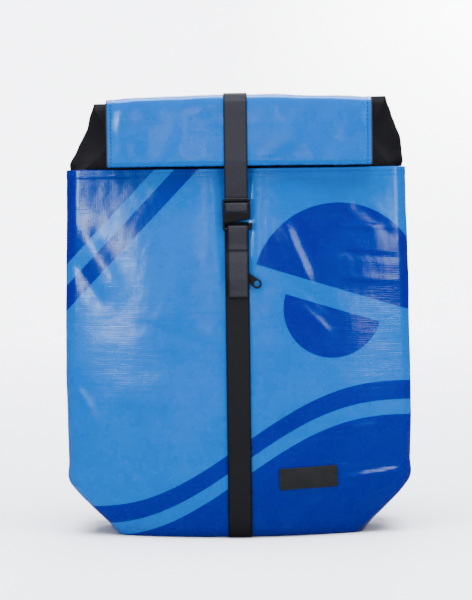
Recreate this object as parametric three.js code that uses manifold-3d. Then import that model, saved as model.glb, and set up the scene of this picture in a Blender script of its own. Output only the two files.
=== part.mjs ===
// A roll-top messenger backpack of coated tarpaulin, standing on its base.
// Millimetres, +Z up, the front faces -Y, and the origin is the centre of the base.
import * as THREE from 'three';
import { mergeVertices } from 'three/addons/utils/BufferGeometryUtils.js';
import Module from 'manifold-3d';

const wasm = await Module();
wasm.setup();

// Cloth and clearances
const tarp = 2;              // wall of coated tarpaulin
const collarCloth = 1.5;     // wall of the black collar
const webbing = 1.4;         // thickness of every webbing strap
const gap = 0.3;             // clearance between pieces that touch

// Tarpaulin body
const bodyHeight = 389;      // base to hem
const bodyWidth = 370;       // widest, below the middle
const frontReach = 70;       // centre of the front panel ahead of the origin
const backReach = 57;        // centre of the back panel behind the origin
const edgeRadius = 17;       // round upright edges
const frontBelly = 26;       // how far the front bulges past its side edges
const backBelly = 6;
const cornerCutWide = 49.5;  // lower corners, cut across
const cornerCutHigh = 56;

// Collar that rises out of the body to a flat slot
const collarRise = 67;       // hem to slot
const collarTuck = 20;       // how deep it sits inside the hem
const collarNarrow = 61;      // the slot is this much narrower than the body
const collarLean = 5.2;      // the whole slot stands this far to the right
const slotDepth = 8;         // front to back across the slot
const slotAhead = 32;        // front of the slot ahead of the origin
const gussetTuck = 15;       // how far the ends fold inwards

// Flap: the back tarpaulin carried over the slot and rolled down in front of it
const flapShort = 35.4;      // the flap is this much narrower than the slot
const flapLean = 4;
const flapLap = 22;          // overlap on the outside of the back panel
const flapRise = 76;         // hem to the flap's top
const flapClear = 2.5;       // hem to the lowest line of the roll
const flapLeave = 3;         // how far the flap leans off the back's line above the hem
const flapLeaveHigh = 5;     // and how far above the hem that is
const rollReach = 68;        // face of the roll ahead of the origin
const rollDepth = 14;        // face to inner layer
const flapCrown = 4;         // the middle stands higher than the ends
const flapBow = 6;           // and further forward

// Webbing straps, hook buckle and loop
const strapWidth = 25;
const loopWidth = 20.5;
const tailDrop = 11;         // free end of the upper strap below the hem, behind the strap
const upperSewn = 18;        // length of the upper strap that is sewn on the yoke
const buckleDrop = 31;       // buckle's top below the hem
const buckleHigh = 34;
const buckleWide = 29;
const buckleThick = 3.5;
const buckleStandOff = 8;    // middle of the plate ahead of the front panel
const barHigh = 3.4;         // top bar and hook bar
const upperSlotHigh = 3.4;
const middleBarHigh = 5.6;
const lowerSlotHigh = 2.8;
const barSlope = 0.8;        // how much the hook bar rises to the right
const mouthLeft = 8;         // plate's lower edge above the foot, at the left
const mouthRight = 12.1;     // and at the right, where the mouth is open
const hookHigh = 8.7;        // hook's tip above the foot
const hookReach = 0.9;       // and past the plate's side
const buckleChamfer = 1.3;
const windowWide = 7;        // square window in the plate, at the left
const windowHigh = 3.2;
const windowLeft = 7;
const loopFrontLong = 21;    // how far the loop's front layer hangs below the buckle
const loopSewnLong = 73;     // and its sewn back layer
const lowerStrapDrop = 6;    // lower strap's top below the buckle

// Zip under the strap
const zipDrop = 92;          // zip's top below the hem
const zipLength = 180;
const zipWide = 19;
const zipThick = 0.8;
const sliderDrop = 14;       // middle of the slider below the zip's top
const sliderWide = 9;
const sliderLong = 12;
const sliderThick = 3.6;
const pullRing = 10.4;       // outside diameter
const pullHole = 6.2;
const pullThick = 1.6;
const pullReachRight = 20.2; // ring centre from the strap's middle
const pullDrop = 14;         // ring centre below the slider's middle
const pullNeck = 3.4;

// Rubber patch, bare
const patchWide = 61.7;
const patchHigh = 22.9;
const patchThick = 1.2;
const patchRight = 72;
const patchUp = 64;
const patchTilt = 2.1;       // degrees

// Back: yoke, haul loop and shoulder straps
const yokeDrop = 71;         // yoke's foot below the hem
const yokeHigh = 26;
const yokeWide = 236;
const yokeThick = 2;
const haulSpan = 76;         // between the sewn ends
const haulSewn = 12;
const haulReach = 26;
const padWide = 60;
const padThick = 11;
const padInset = 32;         // middle of each pad in from the yoke's end
const padBow = 34;           // how far the pads stand off the back
const padEndClear = 5;       // pad's end above the lock
const padLead = 30;          // straight stretch at the pad's end
const padEndWide = 30;
const padEndThin = 0.7;      // share of the thickness left at the pad's end
const padTaperFrom = 0.82;   // share of the pad's length before it narrows
const anchorInset = 73;      // lower end of the webbing, in from the body's side
const anchorUp = 52;
const anchorSewn = 24;
const webbingRun = 72;       // anchor to the ladder lock
const webbingTilt = 15;      // degrees away from the back
const webbingSplay = 8;      // degrees inwards going up
const webbingTail = 60;
const tailLift = 3;          // how far the free end stands away
const lockWide = 34;
const lockHigh = 25;
const lockThick = 3.5;
const lockSlot = 4.6;
const lockBar = 4.2;
const lockSide = 3.5;
const lockChamfer = 1.5;

// Places that follow from the sizes above
const collarTopWidth = bodyWidth - collarNarrow;
const flapWidth = collarTopWidth - flapShort;
const flapTop = bodyHeight + flapRise;
const flapFoot = bodyHeight + flapClear;
const buckleTop = bodyHeight - buckleDrop;
const buckleFoot = buckleTop - buckleHigh;
const loopEnd = buckleFoot - loopFrontLong;
const loopSewnEnd = buckleFoot - loopSewnLong;
const lowerStrapTop = buckleFoot - lowerStrapDrop;
const zipTop = bodyHeight - zipDrop;
const sliderHeight = zipTop - sliderDrop;
const yokeFoot = bodyHeight - yokeDrop;
const yokeTop = yokeFoot + yokeHigh;
const padAcross = yokeWide / 2 - padInset;
const anchorAcross = bodyWidth / 2 - anchorInset;

// Going up the body: cut is a share of the corner cut's width, the rest are shares of the named sizes
const cornerRows = [
  { up: 0.00, cut: 1.00, front: 0.76, back: 0.86, belly: 0.62 },
  { up: 0.19, cut: 0.845, front: 0.87, back: 0.94, belly: 0.78 },
  { up: 0.50, cut: 0.50, front: 0.92, back: 0.965, belly: 0.86 },
  { up: 0.83, cut: 0.14, front: 0.945, back: 0.98, belly: 0.92 },
  { up: 1.00, cut: 0.00, front: 0.955, back: 0.985, belly: 0.94 },
];
const panelRows = [
  { up: 0.07, width: 0.986, front: 0.965, back: 0.99, belly: 0.96 },
  { up: 0.16, width: 0.994, front: 0.985, back: 1.00, belly: 0.98 },
  { up: 0.285, width: 1.000, front: 1.000, back: 1.00, belly: 1.00 },
  { up: 0.44, width: 0.997, front: 0.980, back: 1.00, belly: 0.95 },
  { up: 0.60, width: 0.991, front: 0.935, back: 1.00, belly: 0.84 },
  { up: 0.78, width: 0.984, front: 0.870, back: 0.985, belly: 0.67 },
  { up: 0.91, width: 0.978, front: 0.810, back: 0.975, belly: 0.52 },
  { up: 1.00, width: 0.973, front: 0.775, back: 0.965, belly: 0.44 },
];
const cutTopWidth = 0.981;   // share of the body's width at the top of the corner cut

// Going up the collar: 0 keeps the hem's value and 1 reaches the slot's; tuck is a share of gussetTuck
const collarRows = [
  { up: 0.00, narrow: 0.00, lean: 0.35, front: 0.00, back: 0.00, tuck: 0.00 },
  { up: 0.12, narrow: 0.10, lean: 0.45, front: 0.14, back: 0.13, tuck: 0.20 },
  { up: 0.36, narrow: 0.31, lean: 0.70, front: 0.42, back: 0.37, tuck: 0.75 },
  { up: 0.60, narrow: 0.58, lean: 0.95, front: 0.66, back: 0.61, tuck: 1.00 },
  { up: 0.81, narrow: 0.80, lean: 0.95, front: 0.84, back: 0.81, tuck: 0.70 },
  { up: 1.00, narrow: 1.00, lean: 1.00, front: 1.00, back: 1.00, tuck: 0.10 },
];

// Going down the flap's face: ahead is a share of rollReach, up runs from the roll's foot to its top
const rollRows = [
  { ahead: 0.62, up: 0.990 },
  { ahead: 0.78, up: 0.910 },
  { ahead: 0.87, up: 0.760 },
  { ahead: 0.94, up: 0.500 },
  { ahead: 0.98, up: 0.220 },
];

// Going down a shoulder pad: millimetres below the yoke's foot and outwards, and a share of padBow
const padRows = [
  { drop: -24, splay: 0, bow: 0 },
  { drop: -4, splay: 0, bow: 0.03 },
  { drop: 34, splay: 2, bow: 0.55 },
  { drop: 84, splay: 5, bow: 1 },
];

const mix = THREE.MathUtils.lerp;
const radians = THREE.MathUtils.degToRad;
const pointYZ = (y, z) => new THREE.Vector2(y, z);
const flatPoints = (pairs) => pairs.map(([x, y]) => new THREE.Vector2(x, y));

// All of the body's sections in millimetres, lowest first
function bodySections() {
  const half = bodyWidth / 2;
  const shared = (row) => ({
    front: -frontReach * row.front,
    back: backReach * row.back,
    frontBelly: frontBelly * row.belly,
    backBelly,
    radius: edgeRadius,
    lean: 0,
    tuck: 0,
  });
  const corners = cornerRows.map((row) => ({
    ...shared(row), z: cornerCutHigh * row.up, half: half * cutTopWidth - cornerCutWide * row.cut,
  }));
  const panels = panelRows.map((row) => ({
    ...shared(row), z: mix(cornerCutHigh, bodyHeight, row.up), half: half * row.width,
  }));
  return [...corners, ...panels];
}

const sections = bodySections();

// The body's section at any height, on the straight lines between the table's rows
function bodyAt(z) {
  const last = sections.length - 1;
  let upper = sections.findIndex((row) => row.z >= z);
  if (upper < 0) upper = last;
  if (upper === 0) upper = 1;
  const low = sections[upper - 1];
  const high = sections[upper];
  const share = (z - low.z) / (high.z - low.z);
  const blended = {};
  for (const key of Object.keys(low)) blended[key] = mix(low[key], high[key], share);
  return blended;
}

// A section moved inwards by a wall
function inset(section, by) {
  return {
    ...section,
    half: section.half - by,
    front: section.front + by,
    back: section.back - by,
    radius: Math.max(section.radius - by, 0.5),
  };
}

// Where a bulging panel meets the round edge: half its width, and the slope there
function panelEnd(half, radius, belly) {
  const slope = Math.atan2(2 * belly, half - radius);
  return { slope, reach: half - radius + radius * Math.sin(slope) };
}

function frontSurface(x, z) {
  const row = bodyAt(z);
  const { reach } = panelEnd(row.half, row.radius, row.frontBelly);
  return row.front + row.frontBelly * (x / reach) ** 2;
}

function backSurface(x, z) {
  const row = bodyAt(z);
  const { reach } = panelEnd(row.half, row.radius, row.backBelly);
  return row.back - row.backBelly * (x / reach) ** 2;
}

// One closed ring of a section: bulging front and back, round edges, ends tucked in
function sectionRing(section, z) {
  const panelSteps = 10;
  const edgeSteps = 4;
  const endSteps = 4;
  const ring = [];
  const { half, radius, lean, tuck } = section;
  const front = panelEnd(half, radius, section.frontBelly);
  const back = panelEnd(half, radius, section.backBelly);
  const frontCentre = section.front + section.frontBelly + radius * Math.cos(front.slope);
  const backCentre = section.back - section.backBelly - radius * Math.cos(back.slope);
  const add = (x, y) => ring.push(new THREE.Vector3(x + lean, y, z));
  const edge = (side, centreY, from, to) => {
    for (let i = 1; i <= edgeSteps; i += 1) {
      const turn = mix(from, to, i / edgeSteps);
      add(side * (half - radius + radius * Math.sin(turn)), centreY - radius * Math.cos(turn));
    }
  };
  const end = (side, fromY, toY) => {
    for (let i = 1; i <= endSteps; i += 1) {
      const share = i / endSteps;
      add(side * (half - tuck * Math.sin(Math.PI * share)), mix(fromY, toY, share));
    }
  };
  for (let i = 0; i <= panelSteps; i += 1) {
    const share = (2 * i) / panelSteps - 1;
    add(share * front.reach, section.front + section.frontBelly * share ** 2);
  }
  edge(1, frontCentre, front.slope, Math.PI / 2);
  end(1, frontCentre, backCentre);
  edge(1, backCentre, Math.PI / 2, Math.PI - back.slope);
  for (let i = 1; i <= panelSteps; i += 1) {
    const share = 1 - (2 * i) / panelSteps;
    add(share * back.reach, section.back - section.backBelly * share ** 2);
  }
  edge(-1, backCentre, Math.PI - back.slope, Math.PI / 2);
  end(-1, backCentre, frontCentre);
  edge(-1, frontCentre, Math.PI / 2, front.slope);
  ring.pop();
  return ring;
}

// Triangles that close a flat ring, all turned the same way round as the ring
function capTriangles(ring) {
  const normal = new THREE.Vector3();
  ring.forEach((point, i) => {
    const next = ring[(i + 1) % ring.length];
    normal.add(new THREE.Vector3().crossVectors(point, next));
  });
  normal.normalize();
  const across = new THREE.Vector3(1, 0, 0);
  if (Math.abs(normal.x) > 0.7) across.set(0, 1, 0);
  across.addScaledVector(normal, -across.dot(normal)).normalize();
  const upward = new THREE.Vector3().crossVectors(normal, across);
  const flat = ring.map((point) => new THREE.Vector2(point.dot(across), point.dot(upward)));
  return THREE.ShapeUtils.triangulateShape(flat, []).map(([a, b, c]) => {
    const first = flat[b].clone().sub(flat[a]);
    return first.cross(flat[c].clone().sub(flat[a])) > 0 ? [a, b, c] : [a, c, b];
  });
}

function signedVolume(positions, index) {
  let total = 0;
  const corner = (i) => new THREE.Vector3().fromArray(positions, 3 * index[i]);
  for (let i = 0; i < index.length; i += 3) {
    total += corner(i).dot(corner(i + 1).cross(corner(i + 2))) / 6;
  }
  return total;
}

// A closed body through rings of equal count: capped at both ends, or joined round into a tube
function loft(rings, joined = false) {
  const count = rings[0].length;
  const positions = rings.flat().flatMap((point) => point.toArray());
  const index = [];
  const spans = joined ? rings.length : rings.length - 1;
  for (let r = 0; r < spans; r += 1) {
    const low = r * count;
    const high = ((r + 1) % rings.length) * count;
    for (let i = 0; i < count; i += 1) {
      const next = (i + 1) % count;
      index.push(low + i, low + next, high + next, low + i, high + next, high + i);
    }
  }
  if (!joined) {
    const last = (rings.length - 1) * count;
    for (const [a, b, c] of capTriangles(rings[0])) index.push(a, c, b);
    for (const [a, b, c] of capTriangles(rings.at(-1))) index.push(last + a, last + b, last + c);
  }
  if (signedVolume(positions, index) < 0) index.reverse();
  const geometry = new THREE.BufferGeometry();
  geometry.setAttribute('position', new THREE.Float32BufferAttribute(positions, 3));
  geometry.setIndex(index);
  geometry.computeVertexNormals();
  return geometry;
}

// A line beside a line of points in the YZ plane, to its left, mitred at the bends
function besideLine(path, distance) {
  const normals = path.slice(1).map((point, i) => {
    const along = point.clone().sub(path[i]).normalize();
    return new THREE.Vector2(-along.y, along.x);
  });
  return path.map((point, i) => {
    const before = normals[Math.max(i - 1, 0)];
    const after = normals[Math.min(i, normals.length - 1)];
    const across = before.clone().add(after).normalize();
    return across.multiplyScalar(distance / across.dot(after)).add(point);
  });
}

function ribbonOutline(path, thickness) {
  return [...besideLine(path, thickness / 2), ...besideLine(path, -thickness / 2).reverse()];
}

// A flat strip of cloth that follows a line in the YZ plane
function flatStrip(path, width, thickness) {
  const outline = ribbonOutline(path, thickness);
  return loft([-width / 2, width / 2].map(
    (x) => outline.map((point) => new THREE.Vector3(x, point.x, point.y)),
  ));
}

// A flat plate of the XZ plane: its outline extruded, with the middle of its thickness at y
function flatPlate(outline, thickness, y) {
  const geometry = new THREE.ExtrudeGeometry(outline, { depth: thickness, bevelEnabled: false });
  geometry.rotateX(Math.PI / 2);
  geometry.translate(0, y + thickness / 2, 0);
  return geometry;
}

function rectangle(x, z, wide, high) {
  return new THREE.Path(flatPoints([
    [x - wide / 2, z - high / 2], [x + wide / 2, z - high / 2],
    [x + wide / 2, z + high / 2], [x - wide / 2, z + high / 2],
  ]));
}

// A smooth line through points of the YZ plane
function smoothLine(points, steps) {
  const curve = new THREE.CatmullRomCurve3(points.map((p) => new THREE.Vector3(0, p.x, p.y)),
    false, 'centripetal');
  return curve.getSpacedPoints(steps).map((p) => pointYZ(p.y, p.z));
}

// Join or cut two closed bodies
function toManifold(geometry) {
  const bare = geometry.clone();
  bare.deleteAttribute('normal');
  bare.deleteAttribute('uv');
  const merged = mergeVertices(bare, 1e-4);
  return new wasm.Manifold(new wasm.Mesh({
    numProp: 3,
    vertProperties: Float32Array.from(merged.attributes.position.array),
    triVerts: Uint32Array.from(merged.index.array),
  }));
}

function fromManifold(solid) {
  const { numProp, vertProperties, triVerts } = solid.getMesh();
  const positions = [];
  for (let i = 0; i < vertProperties.length; i += numProp) {
    positions.push(vertProperties[i], vertProperties[i + 1], vertProperties[i + 2]);
  }
  const geometry = new THREE.BufferGeometry();
  geometry.setAttribute('position', new THREE.Float32BufferAttribute(positions, 3));
  geometry.setIndex([...triVerts]);
  geometry.computeVertexNormals();
  return geometry;
}

// Hollow tarpaulin body, open at the hem
function bodyShell() {
  const outer = sections.map((section) => sectionRing(section, section.z));
  const heights = [tarp, ...sections.slice(1).map((section) => section.z)];
  const inner = heights.map((z) => sectionRing(inset(bodyAt(z), tarp), z));
  return loft([...outer, ...inner.reverse()]);
}

// The collar's outside at each height, from inside the hem up to the slot
function collarSections() {
  const hem = inset(bodyAt(bodyHeight), tarp + gap);
  const foot = bodyHeight - collarTuck;
  const tucked = [foot, bodyHeight].map((z) => ({ ...inset(bodyAt(z), tarp + gap), z }));
  const risen = collarRows.slice(1).map((row) => ({
    z: bodyHeight + collarRise * row.up,
    half: mix(hem.half, collarTopWidth / 2, row.narrow),
    lean: collarLean * row.lean,
    front: mix(hem.front, -slotAhead, row.front),
    back: mix(hem.back, slotDepth - slotAhead, row.back),
    frontBelly: mix(hem.frontBelly, 0, row.front),
    backBelly: mix(hem.backBelly, 0, row.back),
    radius: mix(hem.radius, slotDepth / 2.5, row.up),
    tuck: gussetTuck * row.tuck,
  }));
  return [...tucked, ...risen];
}

function collar() {
  const rows = collarSections();
  const outer = rows.map((row) => sectionRing(row, row.z));
  const inner = rows.map((row) => sectionRing(inset(row, collarCloth), row.z));
  return loft([...outer, ...inner.reverse()], true);
}

// Middle line of the flap: up the back, over the slot, down the face and back up inside the roll
function flapLine() {
  const half = tarp / 2;
  const foot = bodyHeight - flapLap;
  const backY = backSurface(0, foot) + gap * 1.5 + half;
  const top = flapTop - half;
  const bottom = flapFoot + half;
  const face = rollRows.map((row) => pointYZ(-rollReach * row.ahead, mix(bottom, top, row.up)));
  const inside = rollRows.slice(1).reverse().map((row) => pointYZ(
    -rollReach * row.ahead + rollDepth - tarp, mix(bottom, top, row.up) + half,
  ));
  const bend = pointYZ(-rollReach * rollRows.at(-1).ahead + rollDepth / 2 - half, bottom);
  const leaving = pointYZ(backY - flapLeave, bodyHeight + flapLeaveHigh);
  const slopeTop = pointYZ(slotDepth * 1.5 - slotAhead, top - half);
  const crest = pointYZ(-slotAhead - slotDepth / 3, top);
  return [
    pointYZ(backY, foot), pointYZ(backY, bodyHeight - tarp), leaving,
    leaving.clone().lerp(slopeTop, 0.52), slopeTop, crest, ...face, bend, ...inside,
  ];
}

const flapCurve = smoothLine(flapLine(), 54);

// The ends of the flap stand lower and further back than its middle
function topFlap() {
  const stations = 11;
  const outline = ribbonOutline(flapCurve, tarp);
  const middleY = -slotAhead;
  const rings = [];
  for (let i = 0; i < stations; i += 1) {
    const share = (2 * i) / (stations - 1) - 1;
    const bend = share ** 2;
    const x = flapLean + share * (flapWidth / 2);
    const backBow = backSurface(x, bodyHeight) - backSurface(0, bodyHeight);
    rings.push(outline.map((point) => {
      const rise = THREE.MathUtils.clamp((point.y - bodyHeight) / collarRise, 0, 1);
      const faceShare = THREE.MathUtils.clamp((middleY - point.x) / rollDepth, 0, 1);
      const bow = flapBow * bend * faceShare + backBow * (1 - rise) * (1 - faceShare);
      return new THREE.Vector3(x, point.x + bow, point.y - flapCrown * bend * rise);
    }));
  }
  return loft(rings);
}

// Heights and depths that the buckle and both straps share
const buckleY = frontSurface(0, buckleTop - buckleHigh / 2) - buckleStandOff;
const buckleLayer = buckleThick / 2 + gap + webbing / 2;
const upperSlot = buckleTop - barHigh - upperSlotHigh / 2;
const lowerSlot = upperSlot - upperSlotHigh / 2 - middleBarHigh - lowerSlotHigh / 2;

// Upper strap: from the back, over the flap, down to the buckle, round its middle bar and up again
function strapUpper() {
  const over = tarp / 2 + gap + webbing / 2;
  const crest = flapCurve.reduce((best, point, i) => (point.y > flapCurve[best].y ? i : best), 0);
  const footAt = flapCurve.findIndex((p, i) => i > crest && p.y < mix(flapFoot, flapTop, 0.15));
  const upper = besideLine(flapCurve.slice(0, footAt), -over);
  const onYoke = yokeFace + gap + webbing / 2;
  const tailY = buckleY + buckleLayer + webbing + gap;
  const path = [
    pointYZ(onYoke, yokeTop - upperSewn), pointYZ(onYoke, yokeTop + tarp), ...upper,
    pointYZ(buckleY + buckleLayer, buckleTop + middleBarHigh),
    pointYZ(buckleY + buckleLayer, upperSlot),
    pointYZ(buckleY - buckleLayer, upperSlot),
    pointYZ(buckleY - buckleLayer, lowerSlot),
    pointYZ(tailY, lowerSlot),
    pointYZ(tailY, bodyHeight - tailDrop),
  ];
  return flatStrip(path, strapWidth - 1, webbing);
}

// Flat hook buckle: two slots for the upper strap and a hook, open at the right, for the loop
function hookBuckle() {
  const half = buckleWide / 2;
  const inner = (strapWidth - 1) / 2 + gap;
  const foot = buckleFoot;
  const tip = half + hookReach;
  const cut = buckleChamfer;
  const outline = new THREE.Shape(flatPoints([
    [-half + cut, buckleTop], [-half, buckleTop - cut], [-half, foot + cut], [-half + cut, foot],
    [tip - cut, foot + barSlope], [tip, foot + barSlope + cut], [tip, foot + hookHigh - cut],
    [tip - cut, foot + hookHigh], [inner, foot + hookHigh - barSlope],
    [inner, foot + barHigh + barSlope], [-inner, foot + barHigh], [-inner, foot + mouthLeft],
    [inner, foot + mouthRight], [half, foot + mouthRight + barSlope],
    [half, buckleTop - cut], [half - cut, buckleTop],
  ]));
  outline.holes.push(rectangle(0, upperSlot, inner * 2, upperSlotHigh));
  outline.holes.push(rectangle(0, lowerSlot, inner * 2, lowerSlotHigh));
  const plateMiddle = (lowerSlot - lowerSlotHigh / 2 + foot + mouthRight) / 2;
  outline.holes.push(rectangle(-windowLeft, plateMiddle, windowWide, windowHigh));
  return flatPlate(outline, buckleThick, buckleY);
}

// How far the middle of the lower strap stands off the front panel: it rises over the zip's slider
const strapOff = gap + zipThick + gap + webbing / 2;
const strapOverSlider = sliderThick + gap * 1.5;

function lowerStrapY(z) {
  const flatReach = sliderLong / 2 + 2;
  const away = Math.abs(z - sliderHeight);
  const rise = 1 - THREE.MathUtils.smoothstep(away, flatReach, flatReach + sliderLong * 1.4);
  return frontSurface(0, z) - strapOff - strapOverSlider * rise;
}

function lowerStrapLine() {
  const step = 4;
  const start = Math.min(loopSewnEnd, sliderHeight - sliderLong * 2) - step;
  const low = sections.map((section) => section.z).filter((z) => z < start - step / 2);
  const rising = [];
  for (let z = start; z < lowerStrapTop - step / 2; z += step) rising.push(z);
  const line = [...low, ...rising, lowerStrapTop].map((z) => pointYZ(lowerStrapY(z), z));
  line[0].y += 2 * gap;
  return line;
}

function strapLower() {
  return flatStrip(lowerStrapLine(), strapWidth, webbing);
}

// Loop of narrower webbing sewn on the lower strap and caught round the hook's bar
function hookLoop() {
  const layer = webbing + gap;
  const leave = 3;           // where the layers begin to leave the strap, below its top
  const barTop = buckleFoot + barHigh + barSlope + gap + webbing / 2;
  const line = lowerStrapLine();
  const rear = besideLine(line, layer);
  const front = besideLine(line, 2 * layer + gap / 2);
  return flatStrip([
    ...rear.filter((p) => p.y >= loopSewnEnd && p.y < lowerStrapTop - leave),
    pointYZ(buckleY + buckleLayer, buckleFoot),
    pointYZ(buckleY + buckleLayer, barTop),
    pointYZ(buckleY - buckleLayer, barTop),
    pointYZ(buckleY - buckleLayer, buckleFoot),
    ...front.filter((p) => p.y >= loopEnd && p.y < lowerStrapTop - 2 * leave).reverse(),
  ], loopWidth, webbing);
}

// A thin patch that lies on the front panel; its corners may be turned in the panel's plane
function frontPatch({ middleX, middleZ, wide, high, thick, off, tilt = 0, columns = 6, rows = 4 }) {
  const cosine = Math.cos(radians(tilt));
  const sine = Math.sin(radians(tilt));
  const at = (u, v, depth) => {
    const x = middleX + u * wide * cosine - v * high * sine;
    const z = middleZ + u * wide * sine + v * high * cosine;
    return new THREE.Vector3(x, frontSurface(x, z) - off - depth, z);
  };
  const rings = [];
  for (let row = 0; row <= rows; row += 1) {
    const v = row / rows - 0.5;
    const ring = [];
    for (let i = 0; i <= columns; i += 1) ring.push(at(i / columns - 0.5, v, thick));
    for (let i = columns; i >= 0; i -= 1) ring.push(at(i / columns - 0.5, v, 0));
    rings.push(ring);
  }
  return loft(rings);
}

function zipTape() {
  return frontPatch({
    middleX: 0, middleZ: zipTop - zipLength / 2, wide: zipWide, high: zipLength,
    thick: zipThick, off: gap, columns: 2, rows: 18,
  });
}

const sliderBack = frontSurface(0, sliderHeight) - gap - zipThick - gap * 1.5;

function zipSlider() {
  const half = sliderWide / 2;
  const waist = -sliderLong / 12;
  const footHalf = half * 0.55;
  const outline = new THREE.Shape(flatPoints([
    [-half, sliderLong / 2], [-half, waist], [-footHalf, -sliderLong / 2],
    [footHalf, -sliderLong / 2], [half, waist], [half, sliderLong / 2],
  ]));
  const thick = sliderThick - gap;
  const geometry = flatPlate(outline, thick, sliderBack - thick / 2);
  return geometry.translate(0, 0, sliderHeight);
}

// Points round a circle of the pull's plane, from one turn to another
function arcPoints(centreX, radius, from, to, sides) {
  const points = [];
  for (let i = 0; i <= sides; i += 1) {
    const turn = mix(from, to, i / sides);
    points.push(new THREE.Vector2(centreX + radius * Math.cos(turn), radius * Math.sin(turn)));
  }
  return points;
}

// Flat pull: a neck beside the slider that ends in a ring, lying down and to the right
function zipPull() {
  const ringSides = 14;
  const holeSides = 12;
  const start = new THREE.Vector2(sliderWide / 2 + gap, 0);
  const along = new THREE.Vector2(pullReachRight, -pullDrop).sub(start);
  const radius = pullRing / 2;
  const join = Math.asin(pullNeck / 2 / radius);
  const neckStart = pullNeck * 0.9;
  const outline = new THREE.Shape([
    ...arcPoints(along.length(), radius, Math.PI + join, Math.PI * 3 - join, ringSides),
    ...flatPoints([[neckStart, pullNeck / 2], [neckStart, -pullNeck / 2]]),
  ]);
  const hole = arcPoints(along.length(), pullHole / 2, 0, -Math.PI * 2, holeSides).slice(1);
  outline.holes.push(new THREE.Path(hole));
  const geometry = new THREE.ExtrudeGeometry(outline, { depth: pullThick, bevelEnabled: false });
  geometry.rotateZ(along.angle());
  geometry.translate(start.x, start.y, 0);
  geometry.rotateX(Math.PI / 2);
  return geometry.translate(0, sliderBack - gap / 3, sliderHeight);
}

// Yoke band across the back, with the haul loop and the pads sewn on it
const yokeOff = gap + yokeThick;

function backYoke() {
  const columns = 12;
  const rings = [0, 0.5, 1].map((v) => {
    const z = yokeFoot + v * yokeHigh;
    const ring = [];
    for (let i = 0; i <= columns; i += 1) {
      const x = yokeWide * (i / columns - 0.5);
      ring.push(new THREE.Vector3(x, backSurface(x, z) + gap, z));
    }
    for (let i = columns; i >= 0; i -= 1) {
      const x = yokeWide * (i / columns - 0.5);
      ring.push(new THREE.Vector3(x, backSurface(x, z) + yokeOff, z));
    }
    return ring;
  });
  return loft(rings);
}

const yokeFace = backSurface(0, yokeFoot + yokeHigh / 2) + yokeOff;

function haulLoop() {
  const half = haulSpan / 2;
  const base = yokeFace + gap + webbing / 2;
  const line = [new THREE.Vector2(-half - haulSewn, base)];
  const steps = 14;
  for (let i = 0; i <= steps; i += 1) {
    const share = (2 * i) / steps - 1;
    line.push(new THREE.Vector2(share * half, base + haulReach * (1 - share ** 4)));
  }
  line.push(new THREE.Vector2(half + haulSewn, base));
  const outline = ribbonOutline(line, webbing);
  const edge = 1;
  return loft([yokeFoot + edge, yokeTop - edge].map(
    (z) => outline.map((point) => new THREE.Vector3(point.x, point.y, z)),
  ));
}

// Frame in which each side's webbing hangs: its z axis runs from the anchor up to the pad
function hangingFrame(side) {
  const frame = new THREE.Object3D();
  const anchorY = backSurface(anchorAcross - strapWidth / 2, anchorUp) + gap * 1.5 + webbing / 2;
  frame.position.set(side * anchorAcross, anchorY, anchorUp);
  frame.rotation.set(-radians(webbingTilt), -side * radians(webbingSplay), 0, 'YXZ');
  frame.updateMatrixWorld();
  return frame;
}

const lockMiddle = webbingRun + lockHigh / 2;
const lockLayer = lockThick / 2 + gap + webbing / 2;
const lockUpperSlot = lockMiddle + lockBar / 2 + lockSlot / 2;

function placed(geometry, frame) {
  return geometry.applyMatrix4(frame.matrixWorld);
}

// Ladder lock: its middle stands lockLayer outside the webbing's line
function ladderLock(frame) {
  const half = lockWide / 2;
  const low = lockMiddle - lockHigh / 2;
  const high = lockMiddle + lockHigh / 2;
  const cut = lockChamfer;
  const outline = new THREE.Shape(flatPoints([
    [-half, low + cut], [-half + cut, low], [half - cut, low], [half, low + cut],
    [half, high - cut], [half - cut, high], [-half + cut, high], [-half, high - cut],
  ]));
  for (const side of [1, -1]) {
    const middle = lockMiddle + side * (lockBar + lockSlot) / 2;
    outline.holes.push(rectangle(0, middle, lockWide - 2 * lockSide, lockSlot));
  }
  return placed(flatPlate(outline, lockThick, lockLayer), frame);
}

// Webbing sewn flat on the back, then up behind the lock, round its middle bar and down as a tail
function lowerWebbing(frame) {
  const tilt = radians(webbingTilt);
  const turn = lockMiddle + lockBar / 2 + gap + webbing / 2;
  const outside = 2 * lockLayer;
  const lockFoot = lockMiddle - lockHigh / 2;
  const path = [
    pointYZ(Math.sin(tilt) * anchorSewn, -Math.cos(tilt) * anchorSewn),
    pointYZ(0, 0),
    pointYZ(0, turn),
    pointYZ(outside, turn),
    pointYZ(outside, lockFoot - lockBar),
    pointYZ(outside + tailLift, lockFoot - webbingTail),
  ];
  return placed(flatStrip(path, strapWidth, webbing), frame);
}

// Loop of webbing at the pad's end, round the lock's upper bar
function padLoop(frame, padEnd) {
  const foot = lockUpperSlot + lockSlot / 2 - gap - webbing / 2;
  const top = padEnd + webbing;
  const path = [
    pointYZ(2 * lockLayer, top), pointYZ(2 * lockLayer, foot), pointYZ(0, foot), pointYZ(0, top),
  ];
  return placed(flatStrip(path, strapWidth, webbing), frame);
}

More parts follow.
